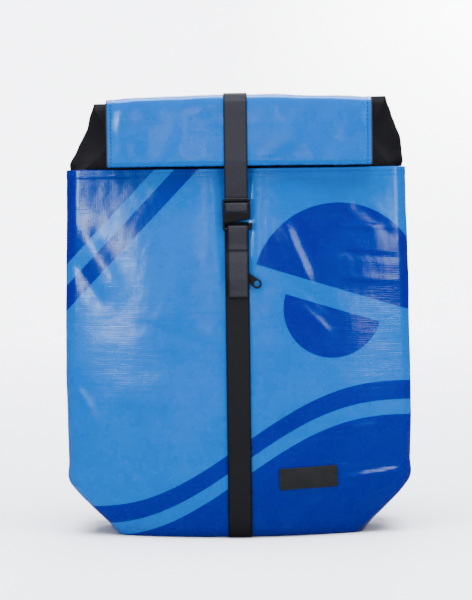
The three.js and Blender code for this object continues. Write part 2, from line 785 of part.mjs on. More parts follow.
// One ring round the pad: a flat oval with round edges
function padRing(middle, along, wide, thick) {
  const sides = 14;
  const squareness = 0.6;
  const across = new THREE.Vector3(1, 0, 0);
  across.addScaledVector(along, -across.dot(along)).normalize();
  const outward = new THREE.Vector3().crossVectors(across, along);
  const squared = (value) => Math.sign(value) * Math.abs(value) ** squareness;
  const ring = [];
  for (let i = 0; i < sides; i += 1) {
    const turn = (2 * Math.PI * i) / sides;
    ring.push(middle.clone()
      .addScaledVector(across, (wide / 2) * squared(Math.cos(turn)))
      .addScaledVector(outward, (thick / 2) * squared(Math.sin(turn))));
  }
  return ring;
}

// Padded shoulder strap: from the yoke, bowed away from the back, down to its loop in the lock
function shoulderStrap(side, frame) {
  const steps = 18;
  const toWorld = (z) => new THREE.Vector3(0, lockLayer, z).applyMatrix4(frame.matrixWorld);
  const padEnd = lockMiddle + lockHigh / 2 + padEndClear;
  const startY = yokeFace + gap + padThick / 2;
  const curve = new THREE.CatmullRomCurve3([
    ...padRows.map((row) => new THREE.Vector3(
      side * (padAcross + row.splay), startY + padBow * row.bow, yokeFoot - row.drop,
    )),
    toWorld(padEnd + padLead), toWorld(padEnd),
  ], false, 'centripetal');
  const rings = [];
  for (let i = 0; i <= steps; i += 1) {
    const share = i / steps;
    const taper = THREE.MathUtils.smoothstep(share, padTaperFrom, 1);
    rings.push(padRing(curve.getPointAt(share), curve.getTangentAt(share),
      mix(padWide, padEndWide, taper), padThick * mix(1, padEndThin, taper)));
  }
  return fromManifold(toManifold(loft(rings)).add(toManifold(padLoop(frame, padEnd))));
}

const material = (color, roughness, metalness = 0) => new THREE.MeshStandardMaterial({
  color, roughness, metalness,
});
const tarpBlue = material(0x0a8be0, 0.35);
const collarBlack = material(0x24222b, 0.8);
const webbingBlack = material(0x2c2b36, 0.85);
const plasticBlack = material(0x141418, 0.4);
const rubberBlack = material(0x2a2c36, 0.6);
const zipMetal = material(0x6c6c74, 0.35, 0.9);

const backpack = new THREE.Group();

function addPiece(name, geometry, look) {
  const mesh = new THREE.Mesh(geometry, look);
  mesh.name = name;
  backpack.add(mesh);
}

addPiece('body_shell', bodyShell(), tarpBlue);
addPiece('collar', collar(), collarBlack);
addPiece('top_flap', topFlap(), tarpBlue);
addPiece('strap_upper', strapUpper(), webbingBlack);
addPiece('hook_buckle', hookBuckle(), plasticBlack);
addPiece('hook_loop', hookLoop(), webbingBlack);
addPiece('strap_lower', strapLower(), webbingBlack);
addPiece('zip_tape', zipTape(), webbingBlack);
addPiece('zip_slider', zipSlider(), zipMetal);
addPiece('zip_pull', zipPull(), plasticBlack);
addPiece('label_patch', frontPatch({
  middleX: patchRight, middleZ: patchUp, wide: patchWide, high: patchHigh,
  thick: patchThick, off: gap, tilt: patchTilt,
}), rubberBlack);
addPiece('back_yoke', backYoke(), webbingBlack);
addPiece('haul_loop', haulLoop(), webbingBlack);
for (const [side, word] of [[-1, 'left'], [1, 'right']]) {
  const frame = hangingFrame(side);
  addPiece(`shoulder_strap_${word}`, shoulderStrap(side, frame), collarBlack);
  addPiece(`ladder_lock_${word}`, ladderLock(frame), plasticBlack);
  addPiece(`lower_webbing_${word}`, lowerWebbing(frame), webbingBlack);
}

export default backpack;
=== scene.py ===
import math

import bmesh
import bpy
import numpy as np
from mathutils import Matrix, Vector, noise


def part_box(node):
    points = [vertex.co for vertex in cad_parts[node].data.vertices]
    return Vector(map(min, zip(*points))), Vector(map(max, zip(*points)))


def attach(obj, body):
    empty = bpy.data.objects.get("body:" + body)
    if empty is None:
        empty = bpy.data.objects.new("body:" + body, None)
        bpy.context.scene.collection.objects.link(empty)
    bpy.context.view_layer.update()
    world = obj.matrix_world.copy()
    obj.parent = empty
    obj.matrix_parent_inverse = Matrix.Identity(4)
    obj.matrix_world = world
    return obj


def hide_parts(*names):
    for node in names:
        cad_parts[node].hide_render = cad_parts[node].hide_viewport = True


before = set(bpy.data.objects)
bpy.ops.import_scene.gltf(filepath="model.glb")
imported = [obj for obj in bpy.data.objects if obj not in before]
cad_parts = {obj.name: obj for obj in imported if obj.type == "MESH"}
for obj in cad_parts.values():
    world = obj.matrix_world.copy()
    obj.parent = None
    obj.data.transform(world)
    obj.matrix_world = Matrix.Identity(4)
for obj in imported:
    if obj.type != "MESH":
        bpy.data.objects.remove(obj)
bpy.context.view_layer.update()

MM = 0.001
SIDES = ((-1, "left"), (1, "right"))


def box_mm(node):
    """The two corners of a node's box, in millimetres."""
    return (np.array(corner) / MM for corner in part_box(node))


def table(columns, *rows):
    """Rows of values under named columns."""
    return [dict(zip(columns.split(), row)) for row in rows]


BODY_LOW, BODY_HIGH = box_mm("body_shell")
FLAP_LOW, FLAP_HIGH = box_mm("top_flap")
COLLAR_TOP = list(box_mm("collar"))[1][2]

# Body: the same named sizes and section shares as the frame's own solid, in millimetres
BODY_HEIGHT = BODY_HIGH[2]
BODY_WIDTH = BODY_HIGH[0] - BODY_LOW[0]
FRONT_REACH = -BODY_LOW[1]
BACK_REACH = BODY_HIGH[1]
EDGE_RADIUS = 17
FRONT_BELLY = 26
BACK_BELLY = 6
CUT_WIDE = 49.5
CUT_HIGH = 56
CUT_TOP_WIDTH = 0.981
TARP = 2
CLOTH = 1.5
WEBBING = 1.4
GAP = 0.3
HEM = 9
STITCH_DROP = 4.3
SIDE_HOLLOW = 1.6

CORNER_ROWS = table(
    "up cut front back belly",
    (0.00, 1.00, 0.76, 0.86, 0.62),
    (0.19, 0.845, 0.87, 0.94, 0.78),
    (0.50, 0.50, 0.92, 0.965, 0.86),
    (0.83, 0.14, 0.945, 0.98, 0.92),
    (1.00, 0.00, 0.955, 0.985, 0.94),
)
PANEL_ROWS = table(
    "up width front back belly",
    (0.07, 0.986, 0.965, 0.99, 0.96),
    (0.16, 0.994, 0.985, 1.00, 0.98),
    (0.285, 1.000, 1.000, 1.00, 1.00),
    (0.44, 0.997, 0.980, 1.00, 0.95),
    (0.60, 0.991, 0.935, 1.00, 0.84),
    (0.78, 0.984, 0.870, 0.985, 0.67),
    (0.91, 0.978, 0.810, 0.975, 0.52),
    (1.00, 0.973, 0.775, 0.965, 0.44),
)

# Creases in the front panel: ends in millimetres, how far they stand out, and half width
CREASES = table(
    "from to out wide",
    ((24, 105), (150, 111.5), -0.8, 2.2),
    ((88, 112), (150, 117), 0.7, 4.5),
    ((100, 57), (176, 64.5), -1.1, 2.0),
    ((98, 66), (168, 73), -0.8, 2.0),
    ((112, 62), (172, 68), 1.1, 3.4),
    ((119.5, 54), (118.5, 22), -0.9, 1.9),
    ((-60, 74), (-61, 50), -0.5, 1.6),
    ((-40, 60), (-39, 44), -0.5, 1.6),
    ((-166, 330), (-122, 258), 1.2, 11.0),
    ((-176, 300), (-140, 242), -1.0, 8.0),
    ((-110, 232), (-34, 204), -0.5, 6.0),
    ((44, 340), (76, 264), 1.9, 7.0),
    ((58, 252), (96, 216), 1.0, 4.0),
    ((66, 266), (100, 236), -0.8, 4.0),
    ((118, 356), (164, 318), -0.8, 6.0),
    ((95, 330), (172, 325), 0.8, 3.2),
    ((104, 300), (174, 292), -0.7, 3.2),
    ((110, 274), (176, 269), 0.6, 3.0),
    ((-172, 162), (-146, 116), 1.0, 6.0),
    ((-96, 40), (-128, 84), 0.8, 5.0),
)
# The tarpaulin's unevenness: how high its waves are, how long, and where their noise starts
SLACK_WAVES = ((0.9, 85, 1.7), (0.45, 34, 5.1), (0.16, 13, 9.3))
PILLOW = {"out": 4.2, "rise": 20.0, "fade": 78.0, "low": 235.0, "high": 325.0, "below": 0.35}


def mix(a, b, share):
    return a + (b - a) * share


def unit(vectors):
    """The same directions, with a length of one."""
    return vectors / np.linalg.norm(vectors, axis=-1, keepdims=True)


def lengths_along(points, power=1.0):
    """How far along a line each of its points lies."""
    steps = np.linalg.norm(np.diff(points, axis=0), axis=1) ** power
    return np.concatenate([[0], np.cumsum(steps)])


def at_lengths(where, lengths, values):
    """A line's points, or what goes with them, at the given lengths."""
    return np.stack([np.interp(where, lengths, column) for column in values.T], axis=-1)


def even_points(curve, steps):
    lengths = lengths_along(curve)
    return at_lengths(np.linspace(0, lengths[-1], steps + 1), lengths, curve)


def smoothstep(value, low, high):
    share = np.clip((value - low) / (high - low), 0, 1)
    return share * share * (3 - 2 * share)


def smooth_table(heights, values):
    """A smooth curve through a table's values, with no overshoot worth seeing."""
    heights = np.array(heights, float)
    values = np.array(values, float)
    slopes = np.gradient(values, heights)

    def at(where):
        i = np.clip(np.searchsorted(heights, where) - 1, 0, len(heights) - 2)
        span = heights[i + 1] - heights[i]
        t = np.clip((where - heights[i]) / span, 0, 1)
        low = values[i] * (1 + 2 * t) * (1 - t) ** 2 + slopes[i] * span * t * (1 - t) ** 2
        high = values[i + 1] * (3 - 2 * t) * t ** 2 - slopes[i + 1] * span * t ** 2 * (1 - t)
        return low + high

    return at


def body_tables():
    half = BODY_WIDTH / 2
    rows = []
    for row in CORNER_ROWS:
        rows.append((CUT_HIGH * row["up"], half * CUT_TOP_WIDTH - CUT_WIDE * row["cut"], row))
    for row in PANEL_ROWS:
        rows.append((mix(CUT_HIGH, BODY_HEIGHT, row["up"]), half * row["width"], row))
    heights = [row[0] for row in rows]
    return {
        "half": smooth_table(heights, [row[1] for row in rows]),
        "front": smooth_table(heights, [-FRONT_REACH * row[2]["front"] for row in rows]),
        "back": smooth_table(heights, [BACK_REACH * row[2]["back"] for row in rows]),
        "belly": smooth_table(heights, [FRONT_BELLY * row[2]["belly"] for row in rows]),
    }


BODY = body_tables()


def panel_end(half, radius, belly):
    slope = np.arctan2(2 * belly, half - radius)
    return slope, half - radius + radius * np.sin(slope)


def front_y(x, z):
    """The front panel's surface, before its creases."""
    _, reach = panel_end(BODY["half"](z), EDGE_RADIUS, BODY["belly"](z))
    return BODY["front"](z) + BODY["belly"](z) * (x / reach) ** 2


def back_y(x, z):
    _, reach = panel_end(BODY["half"](z), EDGE_RADIUS, BACK_BELLY)
    return BODY["back"](z) - BACK_BELLY * (x / reach) ** 2


def wander(x, y, z, scale, seed=0.0):
    """Smooth noise from -1 to 1 with features about scale millimetres across."""
    return noise.noise(Vector((x / scale + seed, y / scale - seed, z / scale + 2 * seed)))


def crease_relief(x, z):
    relief = np.zeros_like(x)
    for crease in CREASES:
        start = np.array(crease["from"], float)
        span = np.array(crease["to"], float) - start
        length = np.linalg.norm(span)
        ahead, up = span / length
        along = (x - start[0]) * ahead + (z - start[1]) * up
        off = (z - start[1]) * ahead - (x - start[0]) * up
        ends = smoothstep(along, -0.12 * length, 0.25 * length)
        ends *= 1 - smoothstep(along, 0.75 * length, 1.12 * length)
        relief += crease["out"] * np.exp(-((off / crease["wide"]) ** 2)) * ends
    return relief


def slack(x, y, z):
    """Soft unevenness of the tarpaulin, in millimetres outwards."""
    return sum(high * wander(x, y, z, scale, seed) for high, scale, seed in SLACK_WAVES)


def calm(z):
    """How freely the cloth moves at a height: hardly at the foot, and less near the hem."""
    return smoothstep(z, 0, 14) * (1 - 0.6 * smoothstep(z, BODY_HEIGHT - 22, BODY_HEIGHT - 4))


def front_relief(x, z):
    """How far the front panel stands outwards from its plain surface."""
    x = np.atleast_1d(np.asarray(x, float))
    z = np.broadcast_to(np.asarray(z, float), x.shape)
    soft = np.array([slack(px, float(front_y(px, pz)), pz) for px, pz in zip(x, z)])
    off = soft * calm(z) + crease_relief(x, z)
    strength = mix(PILLOW["below"], 1.0, smoothstep(z, PILLOW["low"], PILLOW["high"]))
    strength = strength * smoothstep(z, 20, 70)
    pillow = (1 - np.exp(-((x / PILLOW["rise"]) ** 2))) * np.exp(-((x / PILLOW["fade"]) ** 2))
    off = off + PILLOW["out"] * pillow * strength
    return off * (1 - np.exp(-((x / 14.0) ** 4)))


def on_front(x, z, out):
    """A point that lies a little outside the front panel, in millimetres."""
    off = float(front_relief(x, z)[0]) + out
    slope = float(front_y(x + 0.5, z) - front_y(x - 0.5, z))
    length = math.hypot(slope, 1.0)
    return np.array([x + off * slope / length, float(front_y(x, z)) - off / length, z])


def new_object(name, vertices, faces, material):
    mesh = bpy.data.meshes.new(name)
    mesh.from_pydata([tuple(v) for v in np.asarray(vertices) * MM], [], faces)
    mesh.validate()
    mesh.update()
    mesh.polygons.foreach_set("use_smooth", [True] * len(mesh.polygons))
    mesh.set_sharp_from_angle(angle=math.radians(50))
    mesh.materials.append(material)
    made = bpy.data.objects.new(name, mesh)
    bpy.context.scene.collection.objects.link(made)
    return made


def ring_faces(rings, count, first=0):
    """Faces between rings of points, with a cap at each end as the last two."""
    last = first + (rings - 1) * count
    faces = []
    for low in range(first, last, count):
        for i in range(count):
            j = (i + 1) % count
            faces.append((low + i, low + j, low + count + j, low + count + i))
    faces.append(tuple(reversed(range(first, first + count))))
    faces.append(tuple(range(last, last + count)))
    return faces


def loft(name, rings, material, caps=True, uv=None):
    """A body through rings of equal count, in millimetres; uv(ring, point) gives its weave's place."""
    count = len(rings[0])
    faces = ring_faces(len(rings), count)
    made = new_object(name, np.concatenate(rings), faces if caps else faces[:-2], material)
    if uv is not None:
        layer = made.data.uv_layers.new(name="along")
        for loop in made.data.loops:
            layer.data[loop.index].uv = uv(*divmod(loop.vertex_index, count))
    outward(made)
    return made


def outward(made):
    """Turns the faces outwards where the body's volume comes out negative."""
    mesh = made.data
    mesh.calc_loop_triangles()
    points = np.array([v.co for v in mesh.vertices])
    tris = np.array([t.vertices for t in mesh.loop_triangles])
    a, b, c = points[tris[:, 0]], points[tris[:, 1]], points[tris[:, 2]]
    if np.einsum("ij,ij->i", a, np.cross(b, c)).sum() < 0:
        mesh.flip_normals()


def finish_piece(piece, slot, *nodes):
    if nodes:
        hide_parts(*nodes)
    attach(piece, "root")
    return piece


# Materials

class Field:
    """A value that varies over a surface. Arithmetic on fields adds maths nodes to the material."""

    def __init__(self, tree, socket):
        self.tree = tree
        self.socket = socket

    def maths(self, operation, other=None, first=None):
        node = self.tree.nodes.new("ShaderNodeMath")
        node.operation = operation
        give(self.tree, node.inputs[0], self if first is None else first)
        give(self.tree, node.inputs[1], other)
        return Field(self.tree, node.outputs[0])

    def __add__(self, other):
        return self.maths("ADD", other)

    def __sub__(self, other):
        return self.maths("SUBTRACT", other)

    def __rsub__(self, other):
        return self.maths("SUBTRACT", self, other)

    def __mul__(self, other):
        return self.maths("MULTIPLY", other)

    def __or__(self, other):
        return self.maths("MAXIMUM", other)

    def __lt__(self, other):
        return self.maths("LESS_THAN", other)

    def __gt__(self, other):
        return self.maths("GREATER_THAN", other)

    def ribs(self, spacing):
        """A rounded rib every spacing metres, from 0 to 1."""
        return (self * (2 * math.pi / spacing)).maths("SINE") * 0.5 + 0.5


def give(tree, socket, value):
    """Gives a socket its field, number or colour, or leaves it alone for None."""
    if isinstance(value, Field):
        tree.links.new(value.socket, socket)
    elif isinstance(value, tuple) and len(socket.default_value) == 4:
        socket.default_value = (*value, 1)
    elif value is not None:
        socket.default_value = value


class Surface:
    """A new material; x, y and z are the place on the object in metres."""

    def __init__(self, name, **values):
        self.material = bpy.data.materials.new(name)
        self.material.use_nodes = True
        self.tree = self.material.node_tree
        self.shader = self.tree.nodes["Principled BSDF"]
        self.shade(**values)
        self.place = self.add("TexCoord", "Object")
        split = self.tree.nodes.new("ShaderNodeSeparateXYZ")
        self.tree.links.new(self.place.socket, split.inputs[0])
        self.x, self.y, self.z = (Field(self.tree, output) for output in split.outputs)

    def add(self, kind, output, **values):
        """A new node's output; an underline in a name stands for a space."""
        node = self.tree.nodes.new("ShaderNode" + kind)
        for name, value in values.items():
            give(self.tree, node.inputs[name.replace("_", " ")], value)
        return Field(self.tree, node.outputs[output])

    def shade(self, **values):
        for name, value in values.items():
            give(self.tree, self.shader.inputs[name.replace("_", " ")], value)

    def noise(self, scale, detail=3.0, roughness=0.5):
        """Cloudy noise; three scales stretch it along the axes."""
        place = self.place
        if isinstance(scale, tuple):
            place = self.add("Mapping", "Vector", Vector=place, Scale=scale)
            scale = 1.0
        return self.add("TexNoise", "Fac", Vector=place, Scale=scale, Detail=detail, Roughness=roughness)

    def between(self, value, low, high, start, end):
        return self.add("MapRange", "Result", Value=value, From_Min=low, From_Max=high,
                        To_Min=start, To_Max=end)

    def mix(self, share, first, second):
        node = self.tree.nodes.new("ShaderNodeMix")
        node.data_type = "RGBA"
        for index, value in ((0, share), (6, first), (7, second)):
            give(self.tree, node.inputs[index], value)
        return Field(self.tree, node.outputs[2])

    def bump(self, height, distance, strength):
        relief = self.add("Bump", "Normal", Height=height, Distance=distance, Strength=strength)
        self.shade(Normal=relief)
        return relief


LIGHT_BLUE = (0.0005, 0.066, 0.285)
LIGHT_BLUE_DEEP = (0.0005, 0.055, 0.255)
DARK_BLUE = (0.0005, 0.0008, 0.128)
DARK_BLUE_DEEP = (0.0005, 0.0006, 0.112)
WORN_BLUE = (0.03, 0.24, 0.60)
GLOSS_TINT = (0.02, 0.45, 1)
TARP_WEAVE = 0.0019

# The print, in metres: where it turns round the sides, its hills, its wedge and its two half discs
PRINT_TURN = 0.036
HILL = {"across": 15.0, "high": 0.026, "slope": 0.30}
HILL_TOPS = (0.098, 0.078, 0.062)
WEDGE_SLOPE = (-0.72, 0.69)
WEDGE_SIDE = -0.185
WEDGE_STARTS = (0.236, 0.262, 0.284)
SUN = {"centre": (0.106, 0.262), "radius": 0.090, "cut": (0.30, 0.95)}
ECHO = {"centre": (0.100, 0.242), "radius": 0.052, "cut": (-0.30, -0.95)}


def beyond(x, z, point, direction):
    """1 on the side of a line that direction points to, and 0 on the other."""
    return (x - point[0]) * direction[0] + (z - point[1]) * direction[1] > 0.0


def half_disc(x, z, centre, radius, cut):
    dx, dz = x - centre[0], z - centre[1]
    return (dx * dx + dz * dz < radius ** 2) * beyond(x, z, centre, cut)


def print_pattern(x, y, z):
    """The dark part of a plain two-tone print, which is wrapped round the sides as one cloth."""
    ahead = y < (BACK_REACH - BACK_BELLY - EDGE_RADIUS) * MM
    x = x + ahead * x.maths("SIGN") * (y + PRINT_TURN | 0.0)
    top = (x * HILL["across"]).maths("SINE") * HILL["high"] + x * HILL["slope"]
    hill, band_top, band_foot = (z < top + height for height in HILL_TOPS)
    ground = hill * (1.0 - band_top * (1.0 - band_foot))
    wedge, inner, outer = (beyond(x, z, (WEDGE_SIDE, start), WEDGE_SLOPE) for start in WEDGE_STARTS)
    discs = half_disc(x, z, **SUN) | half_disc(x, z, **ECHO)
    return ground | wedge * (1.0 - inner * (1.0 - outer)) | ahead * discs


def tarpaulin(name, printed):
    """Glossy coated cloth: a woven grid shows through, with fine sideways wrinkles."""
    cloth = Surface(name, Specular_IOR_Level=0.42, Specular_Tint=GLOSS_TINT,
                    Coat_Weight=0.30, Coat_Roughness=0.10)
    x, y, z = cloth.x, cloth.y, cloth.z
    cloud = cloth.between(cloth.noise(9.0, 4.0), 0.35, 0.65, 0.0, 1.0)
    colour = cloth.mix(cloud, LIGHT_BLUE, LIGHT_BLUE_DEEP)
    if printed:
        dark = cloth.mix(cloud, DARK_BLUE, DARK_BLUE_DEEP)
        soft_x = x + cloth.noise(500.0, 2.0) * 0.0006
        colour = cloth.mix(print_pattern(soft_x, y, z), colour, dark)
    threads = cloth.noise((60.0, 60.0, 900.0), 4.0, 0.6)
    worn = cloth.between(threads, 0.62, 0.8, 0.0, 0.16)
    rough = cloth.between(cloth.noise(45.0, 6.0, 0.6), 0.3, 0.7, 0.20, 0.36)
    cloth.shade(Base_Color=cloth.mix(worn, colour, WORN_BLUE), Roughness=rough)
    weave = (x.ribs(TARP_WEAVE) | y.ribs(TARP_WEAVE)) + z.ribs(TARP_WEAVE)
    puckers = cloth.noise(150.0, 4.0, 0.6)
    wrinkles = cloth.noise((22.0, 22.0, 210.0), 5.0, 0.62)
    crackle = cloth.noise((420.0, 420.0, 760.0), 5.0, 0.7)
    height = weave * 0.3 + puckers * 1.3 + wrinkles * 2.6 + crackle * 0.35
    cloth.shade(Coat_Normal=cloth.bump(height, 0.00010, 0.7))
    return cloth.material


def toned(tone, *shares):
    return tuple(tone * share for share in shares)


def black_cloth(name, tone, spacing=0.0009):
    cloth = Surface(name, Roughness=0.75, Specular_IOR_Level=0.05)
    cloud = cloth.noise(24.0, 4.0)
    cloth.shade(Base_Color=cloth.mix(cloud, toned(tone, 0.8, 0.78, 0.95), toned(tone, 1.4, 1.3, 1.6)))
    weave = cloth.x.ribs(spacing) + cloth.z.ribs(spacing) + cloth.y.ribs(spacing)
    cloth.bump(weave + cloth.noise(180.0, 3.0) * 1.5, 0.0002, 0.6)
    return cloth.material


def webbing_material(name, tone):
    """Woven webbing: u is the distance from the nearer edge, v runs along it."""
    cloth = Surface(name, Roughness=0.7, Specular_IOR_Level=0.1)
    split = cloth.tree.nodes.new("ShaderNodeSeparateXYZ")
    give(cloth.tree, split.inputs[0], cloth.add("TexCoord", "UV"))
    u, v = (Field(cloth.tree, output) for output in split.outputs[:2])
    weft = (v + u * 0.8).ribs(0.0021)
    shade = weft * 0.6 + cloth.noise(320.0) * 0.35
    dark = toned(tone, 0.40, 0.40, 0.52)
    woven = cloth.mix(shade, dark, toned(tone, 1.85, 1.80, 2.35))
    cloth.shade(Base_Color=cloth.mix(cloth.between(u, 0.0009, 0.0021, 0.0, 1.0), dark, woven))
    cloth.bump(u.ribs(0.00125) * weft, 0.0003, 0.8)
    return cloth.material


def thread(name, colour):
    """Sewing thread: matt, its colour varying a little along the seam."""
    made = Surface(name, Roughness=0.8, Specular_IOR_Level=0.1)
    fuzz = made.noise(700.0, 2.0)
    made.shade(Base_Color=made.mix(fuzz, tuple(value * 0.6 for value in colour), colour))
    made.bump(fuzz, 0.0001, 0.5)
    return made.material


def moulded(name, tone, rough, metal=0.0):
    """Dark plastic, rubber or coated metal with a fine grain."""
    made = Surface(name, Metallic=metal, Specular_IOR_Level=0.12)
    cloud = made.noise(90.0, 4.0)
    made.shade(Base_Color=made.mix(cloud, toned(tone, 1, 1, 1.15), toned(tone, 1.9, 1.9, 2.2)),
               Roughness=made.between(cloud, 0.3, 0.7, rough - 0.08, rough + 0.1))
    made.bump(made.noise(2200.0), 0.00006, 0.5)
    return made.material


def pale_paper(name, glow):
    """Matt paper; with glow, its far part is lit evenly, as by lamps of its own, and its upper right glows
    brighter still, a painted pool of light.
    """
    paper = Surface(name, Roughness=0.95, Specular_IOR_Level=0.1)
    cloud = paper.noise(1.3, 2.0)
    paper.shade(Base_Color=paper.mix(cloud, PAPER, tuple(value * 0.985 for value in PAPER)))
    paper.bump(paper.noise(900.0, 2.0), 0.00005, 0.3)
    if glow:
        far = paper.between(paper.y, SWEEP_START, GLOW_FULL, 0.0, GLOW)
        inside = paper.between(paper.x.maths("ABSOLUTE"), SWEEP_HALF - GLOW_FADE, SWEEP_HALF, 1.0, 0.0)
        # Painted light: a glow that brightens the upper right of the backdrop.
        right = paper.between(paper.x, 0.0, 0.6, 0.0, GLOW_CORNER)
        high = paper.between(paper.z, 0.2, 0.75, 0.0, 1.0)
        paper.shade(Emission_Strength=far * inside + right * high, Emission_Color=(0.97, 0.985, 1.0))
    return paper.material


PRINTED = tarpaulin("printed_tarpaulin", True)
PLAIN = tarpaulin("plain_tarpaulin", False)
COLLAR_CLOTH = black_cloth("collar_cloth", 0.0056)
PAD_CLOTH = black_cloth("pad_cloth", 0.009, 0.0022)
BINDING = black_cloth("edge_binding", 0.022)
WEB = webbing_material("black_webbing", 0.0044)
# A lighter copy of the black webbing for the upper strap and the buckle loop: painted light, as these catch
# more light than the lower strap.
WEB_PAINTED_LIT = webbing_material("webbing_painted_lighter", 0.0145)
BUCKLE_BLACK = moulded("buckle_black", 0.0022, 0.3)
LOCK_BLACK = moulded("lock_black", 0.0028, 0.4)
ZIP_DARK = moulded("zip_dark", 0.05, 0.4, 0.8)
PATCH_BLACK = moulded("patch_rubber", 0.0055, 0.62)
THREAD_BLUE = thread("blue_thread", (0.0005, 0.045, 0.26))
THREAD_BLACK = thread("black_thread", (0.004, 0.004, 0.006))


# Body

def body_ring(z, wall=0.0, relief=True):
    """One ring of the body, counted the same way at every height."""
    panel_steps, edge_steps, end_steps, back_steps = 130, 9, 16, 60
    half = float(BODY["half"](z)) - wall
    radius = EDGE_RADIUS - wall
    belly = float(BODY["belly"](z))
    front = float(BODY["front"](z)) + wall
    back = float(BODY["back"](z)) - wall
    f_slope, f_reach = panel_end(half, radius, belly)
    b_slope, b_reach = panel_end(half, radius, BACK_BELLY)
    f_centre = front + belly + radius * math.cos(f_slope)
    b_centre = back - BACK_BELLY - radius * math.cos(b_slope)

    def edge(side, start, end, centre):
        turn = np.linspace(start, end, edge_steps + 1)[1:]
        return side * (half - radius + radius * np.sin(turn)), centre - radius * np.cos(turn)

    def end(side, start, stop):
        return np.full(end_steps, side * half), mix(start, stop, np.linspace(0, 1, end_steps + 1)[1:])

    ahead = np.linspace(-1, 1, panel_steps + 1)
    behind = np.linspace(1, -1, back_steps + 1)[1:]
    square = math.pi / 2
    runs = [
        (ahead * f_reach, front + belly * ahead ** 2), edge(1, f_slope, square, f_centre),
        end(1, f_centre, b_centre), edge(1, square, math.pi - b_slope, b_centre),
        (behind * b_reach, back - BACK_BELLY * behind ** 2),
        edge(-1, math.pi - b_slope, square, b_centre), end(-1, b_centre, f_centre),
        edge(-1, square, f_slope, f_centre),
    ]
    x, y = np.concatenate(runs, axis=1)[:, :-1]
    ring = np.stack([x, y, np.full(len(x), float(z))], axis=1)
    return body_relief(ring, z) if relief else ring


def ring_normals(ring):
    """Outward directions of a level ring that runs anticlockwise seen from above."""
    along = unit(np.roll(ring[:, :2], -1, axis=0) - np.roll(ring[:, :2], 1, axis=0))
    return np.stack([along[:, 1], -along[:, 0], np.zeros(len(ring))], axis=1)


def body_relief(ring, z):
    """Pushes the wall in and out: the front's creases, slack cloth elsewhere, and the doubled hem."""
    normals = ring_normals(ring)
    x = ring[:, 0]
    around = np.array([slack(*point) for point in ring]) * calm(z)
    facing = smoothstep(-normals[:, 1], 0.80, 0.93)
    off = mix(around, front_relief(x, z), facing)
    side = smoothstep(np.abs(normals[:, 0]), 0.85, 0.98)
    off = off - SIDE_HOLLOW * side * float(smoothstep(z, 60, 150))
    hem = 0.35 * float(smoothstep(z, BODY_HEIGHT - HEM - 0.5, BODY_HEIGHT - HEM + 0.5))
    return ring + normals * (off + hem)[:, None]


def make_body():
    below_hem, lip_drop = 14, 0.6
    outer = [body_ring(z) for z in np.concatenate([
        np.linspace(0, CUT_HIGH, 29)[:-1],
        np.linspace(CUT_HIGH, BODY_HEIGHT - below_hem, 112)[:-1],
        np.linspace(BODY_HEIGHT - below_hem, BODY_HEIGHT - lip_drop, 12),
    ])]
    lip = body_ring(BODY_HEIGHT, TARP * 0.5)
    inner = [body_ring(z, TARP, relief=False) for z in np.linspace(BODY_HEIGHT - lip_drop, TARP, 24)]
    body = loft("bag_body", [*outer, lip, *inner], PRINTED)
    finish_piece(body, "tarpaulin", "body_shell")
    seam = body_ring(BODY_HEIGHT - STITCH_DROP)
    normals = ring_normals(seam)
    stitches("hem_stitches", seam + normals * 0.1, normals, THREAD_BLUE, "tarpaulin")


# Flap

ROLL_ROWS = [
    (0.86, 1.0), (0.925, 0.975), (0.950, 0.90), (0.962, 0.60), (0.978, 0.25), (0.985, 0.10), (0.986, 0.035),
]
SLOT_AHEAD = 32
SLOT_DEPTH = 8
ROLL_REACH = 68
ROLL_DEPTH = 14
FLAP_FOOT = 391.5
FLAP_TOP = 465
FLAP_LAP = 22
FLAP_CROWN = 4
FLAP_BOW = 6
FLAP_WIDTH = FLAP_HIGH[0] - FLAP_LOW[0]
FLAP_LEAN = (FLAP_HIGH[0] + FLAP_LOW[0]) / 2
COLLAR_RISE = COLLAR_TOP - BODY_HEIGHT


def smooth_line(points, steps):
    """Evenly spaced points on a centripetal curve through points of the YZ plane."""
    points = np.array(points, float)
    padded = np.vstack([2 * points[0] - points[1], points, 2 * points[-1] - points[-2]])
    knots = lengths_along(padded, 0.5)

    def blend(t, start, end, a, b):
        return mix(a, b, (t - start) / (end - start))

    curve = []
    for i in range(len(points) - 1):
        t0, t1, t2, t3 = knots[i:i + 4]
        p0, p1, p2, p3 = padded[i:i + 4]
        for t in np.linspace(t1, t2, 40, endpoint=False):
            middle = blend(t, t1, t2, p1, p2)
            first = blend(t, t0, t2, blend(t, t0, t1, p0, p1), middle)
            second = blend(t, t1, t3, middle, blend(t, t2, t3, p2, p3))
            curve.append(blend(t, t1, t2, first, second))
    return even_points(np.array([*curve, points[-1]]), steps)


def flap_line():
    half = TARP / 2
    foot = BODY_HEIGHT - FLAP_LAP
    back = float(back_y(0, foot)) + GAP * 1.5 + half
    top, bottom = FLAP_TOP - half, FLAP_FOOT + half
    face = [(-ROLL_REACH * ahead, mix(bottom, top, up)) for ahead, up in ROLL_ROWS]
    inside = [(-ROLL_REACH * ahead + ROLL_DEPTH - TARP, mix(bottom, top, up) + TARP * 0.5)
              for ahead, up in reversed(ROLL_ROWS[1:])]
    bend = (-ROLL_REACH * 0.98 + ROLL_DEPTH / 2 - half, bottom)
    slope_top = (-SLOT_AHEAD + SLOT_DEPTH * 1.5, top - 1)
    crest = (-SLOT_AHEAD * 1.08, top)
    return [
        (back, foot), (back, BODY_HEIGHT - 2), (back - 3, BODY_HEIGHT + 5),
        (mix(back, slope_top[0], 0.52), mix(BODY_HEIGHT + 5, slope_top[1], 0.52)),
        slope_top, crest, *face, bend, *inside,
    ]


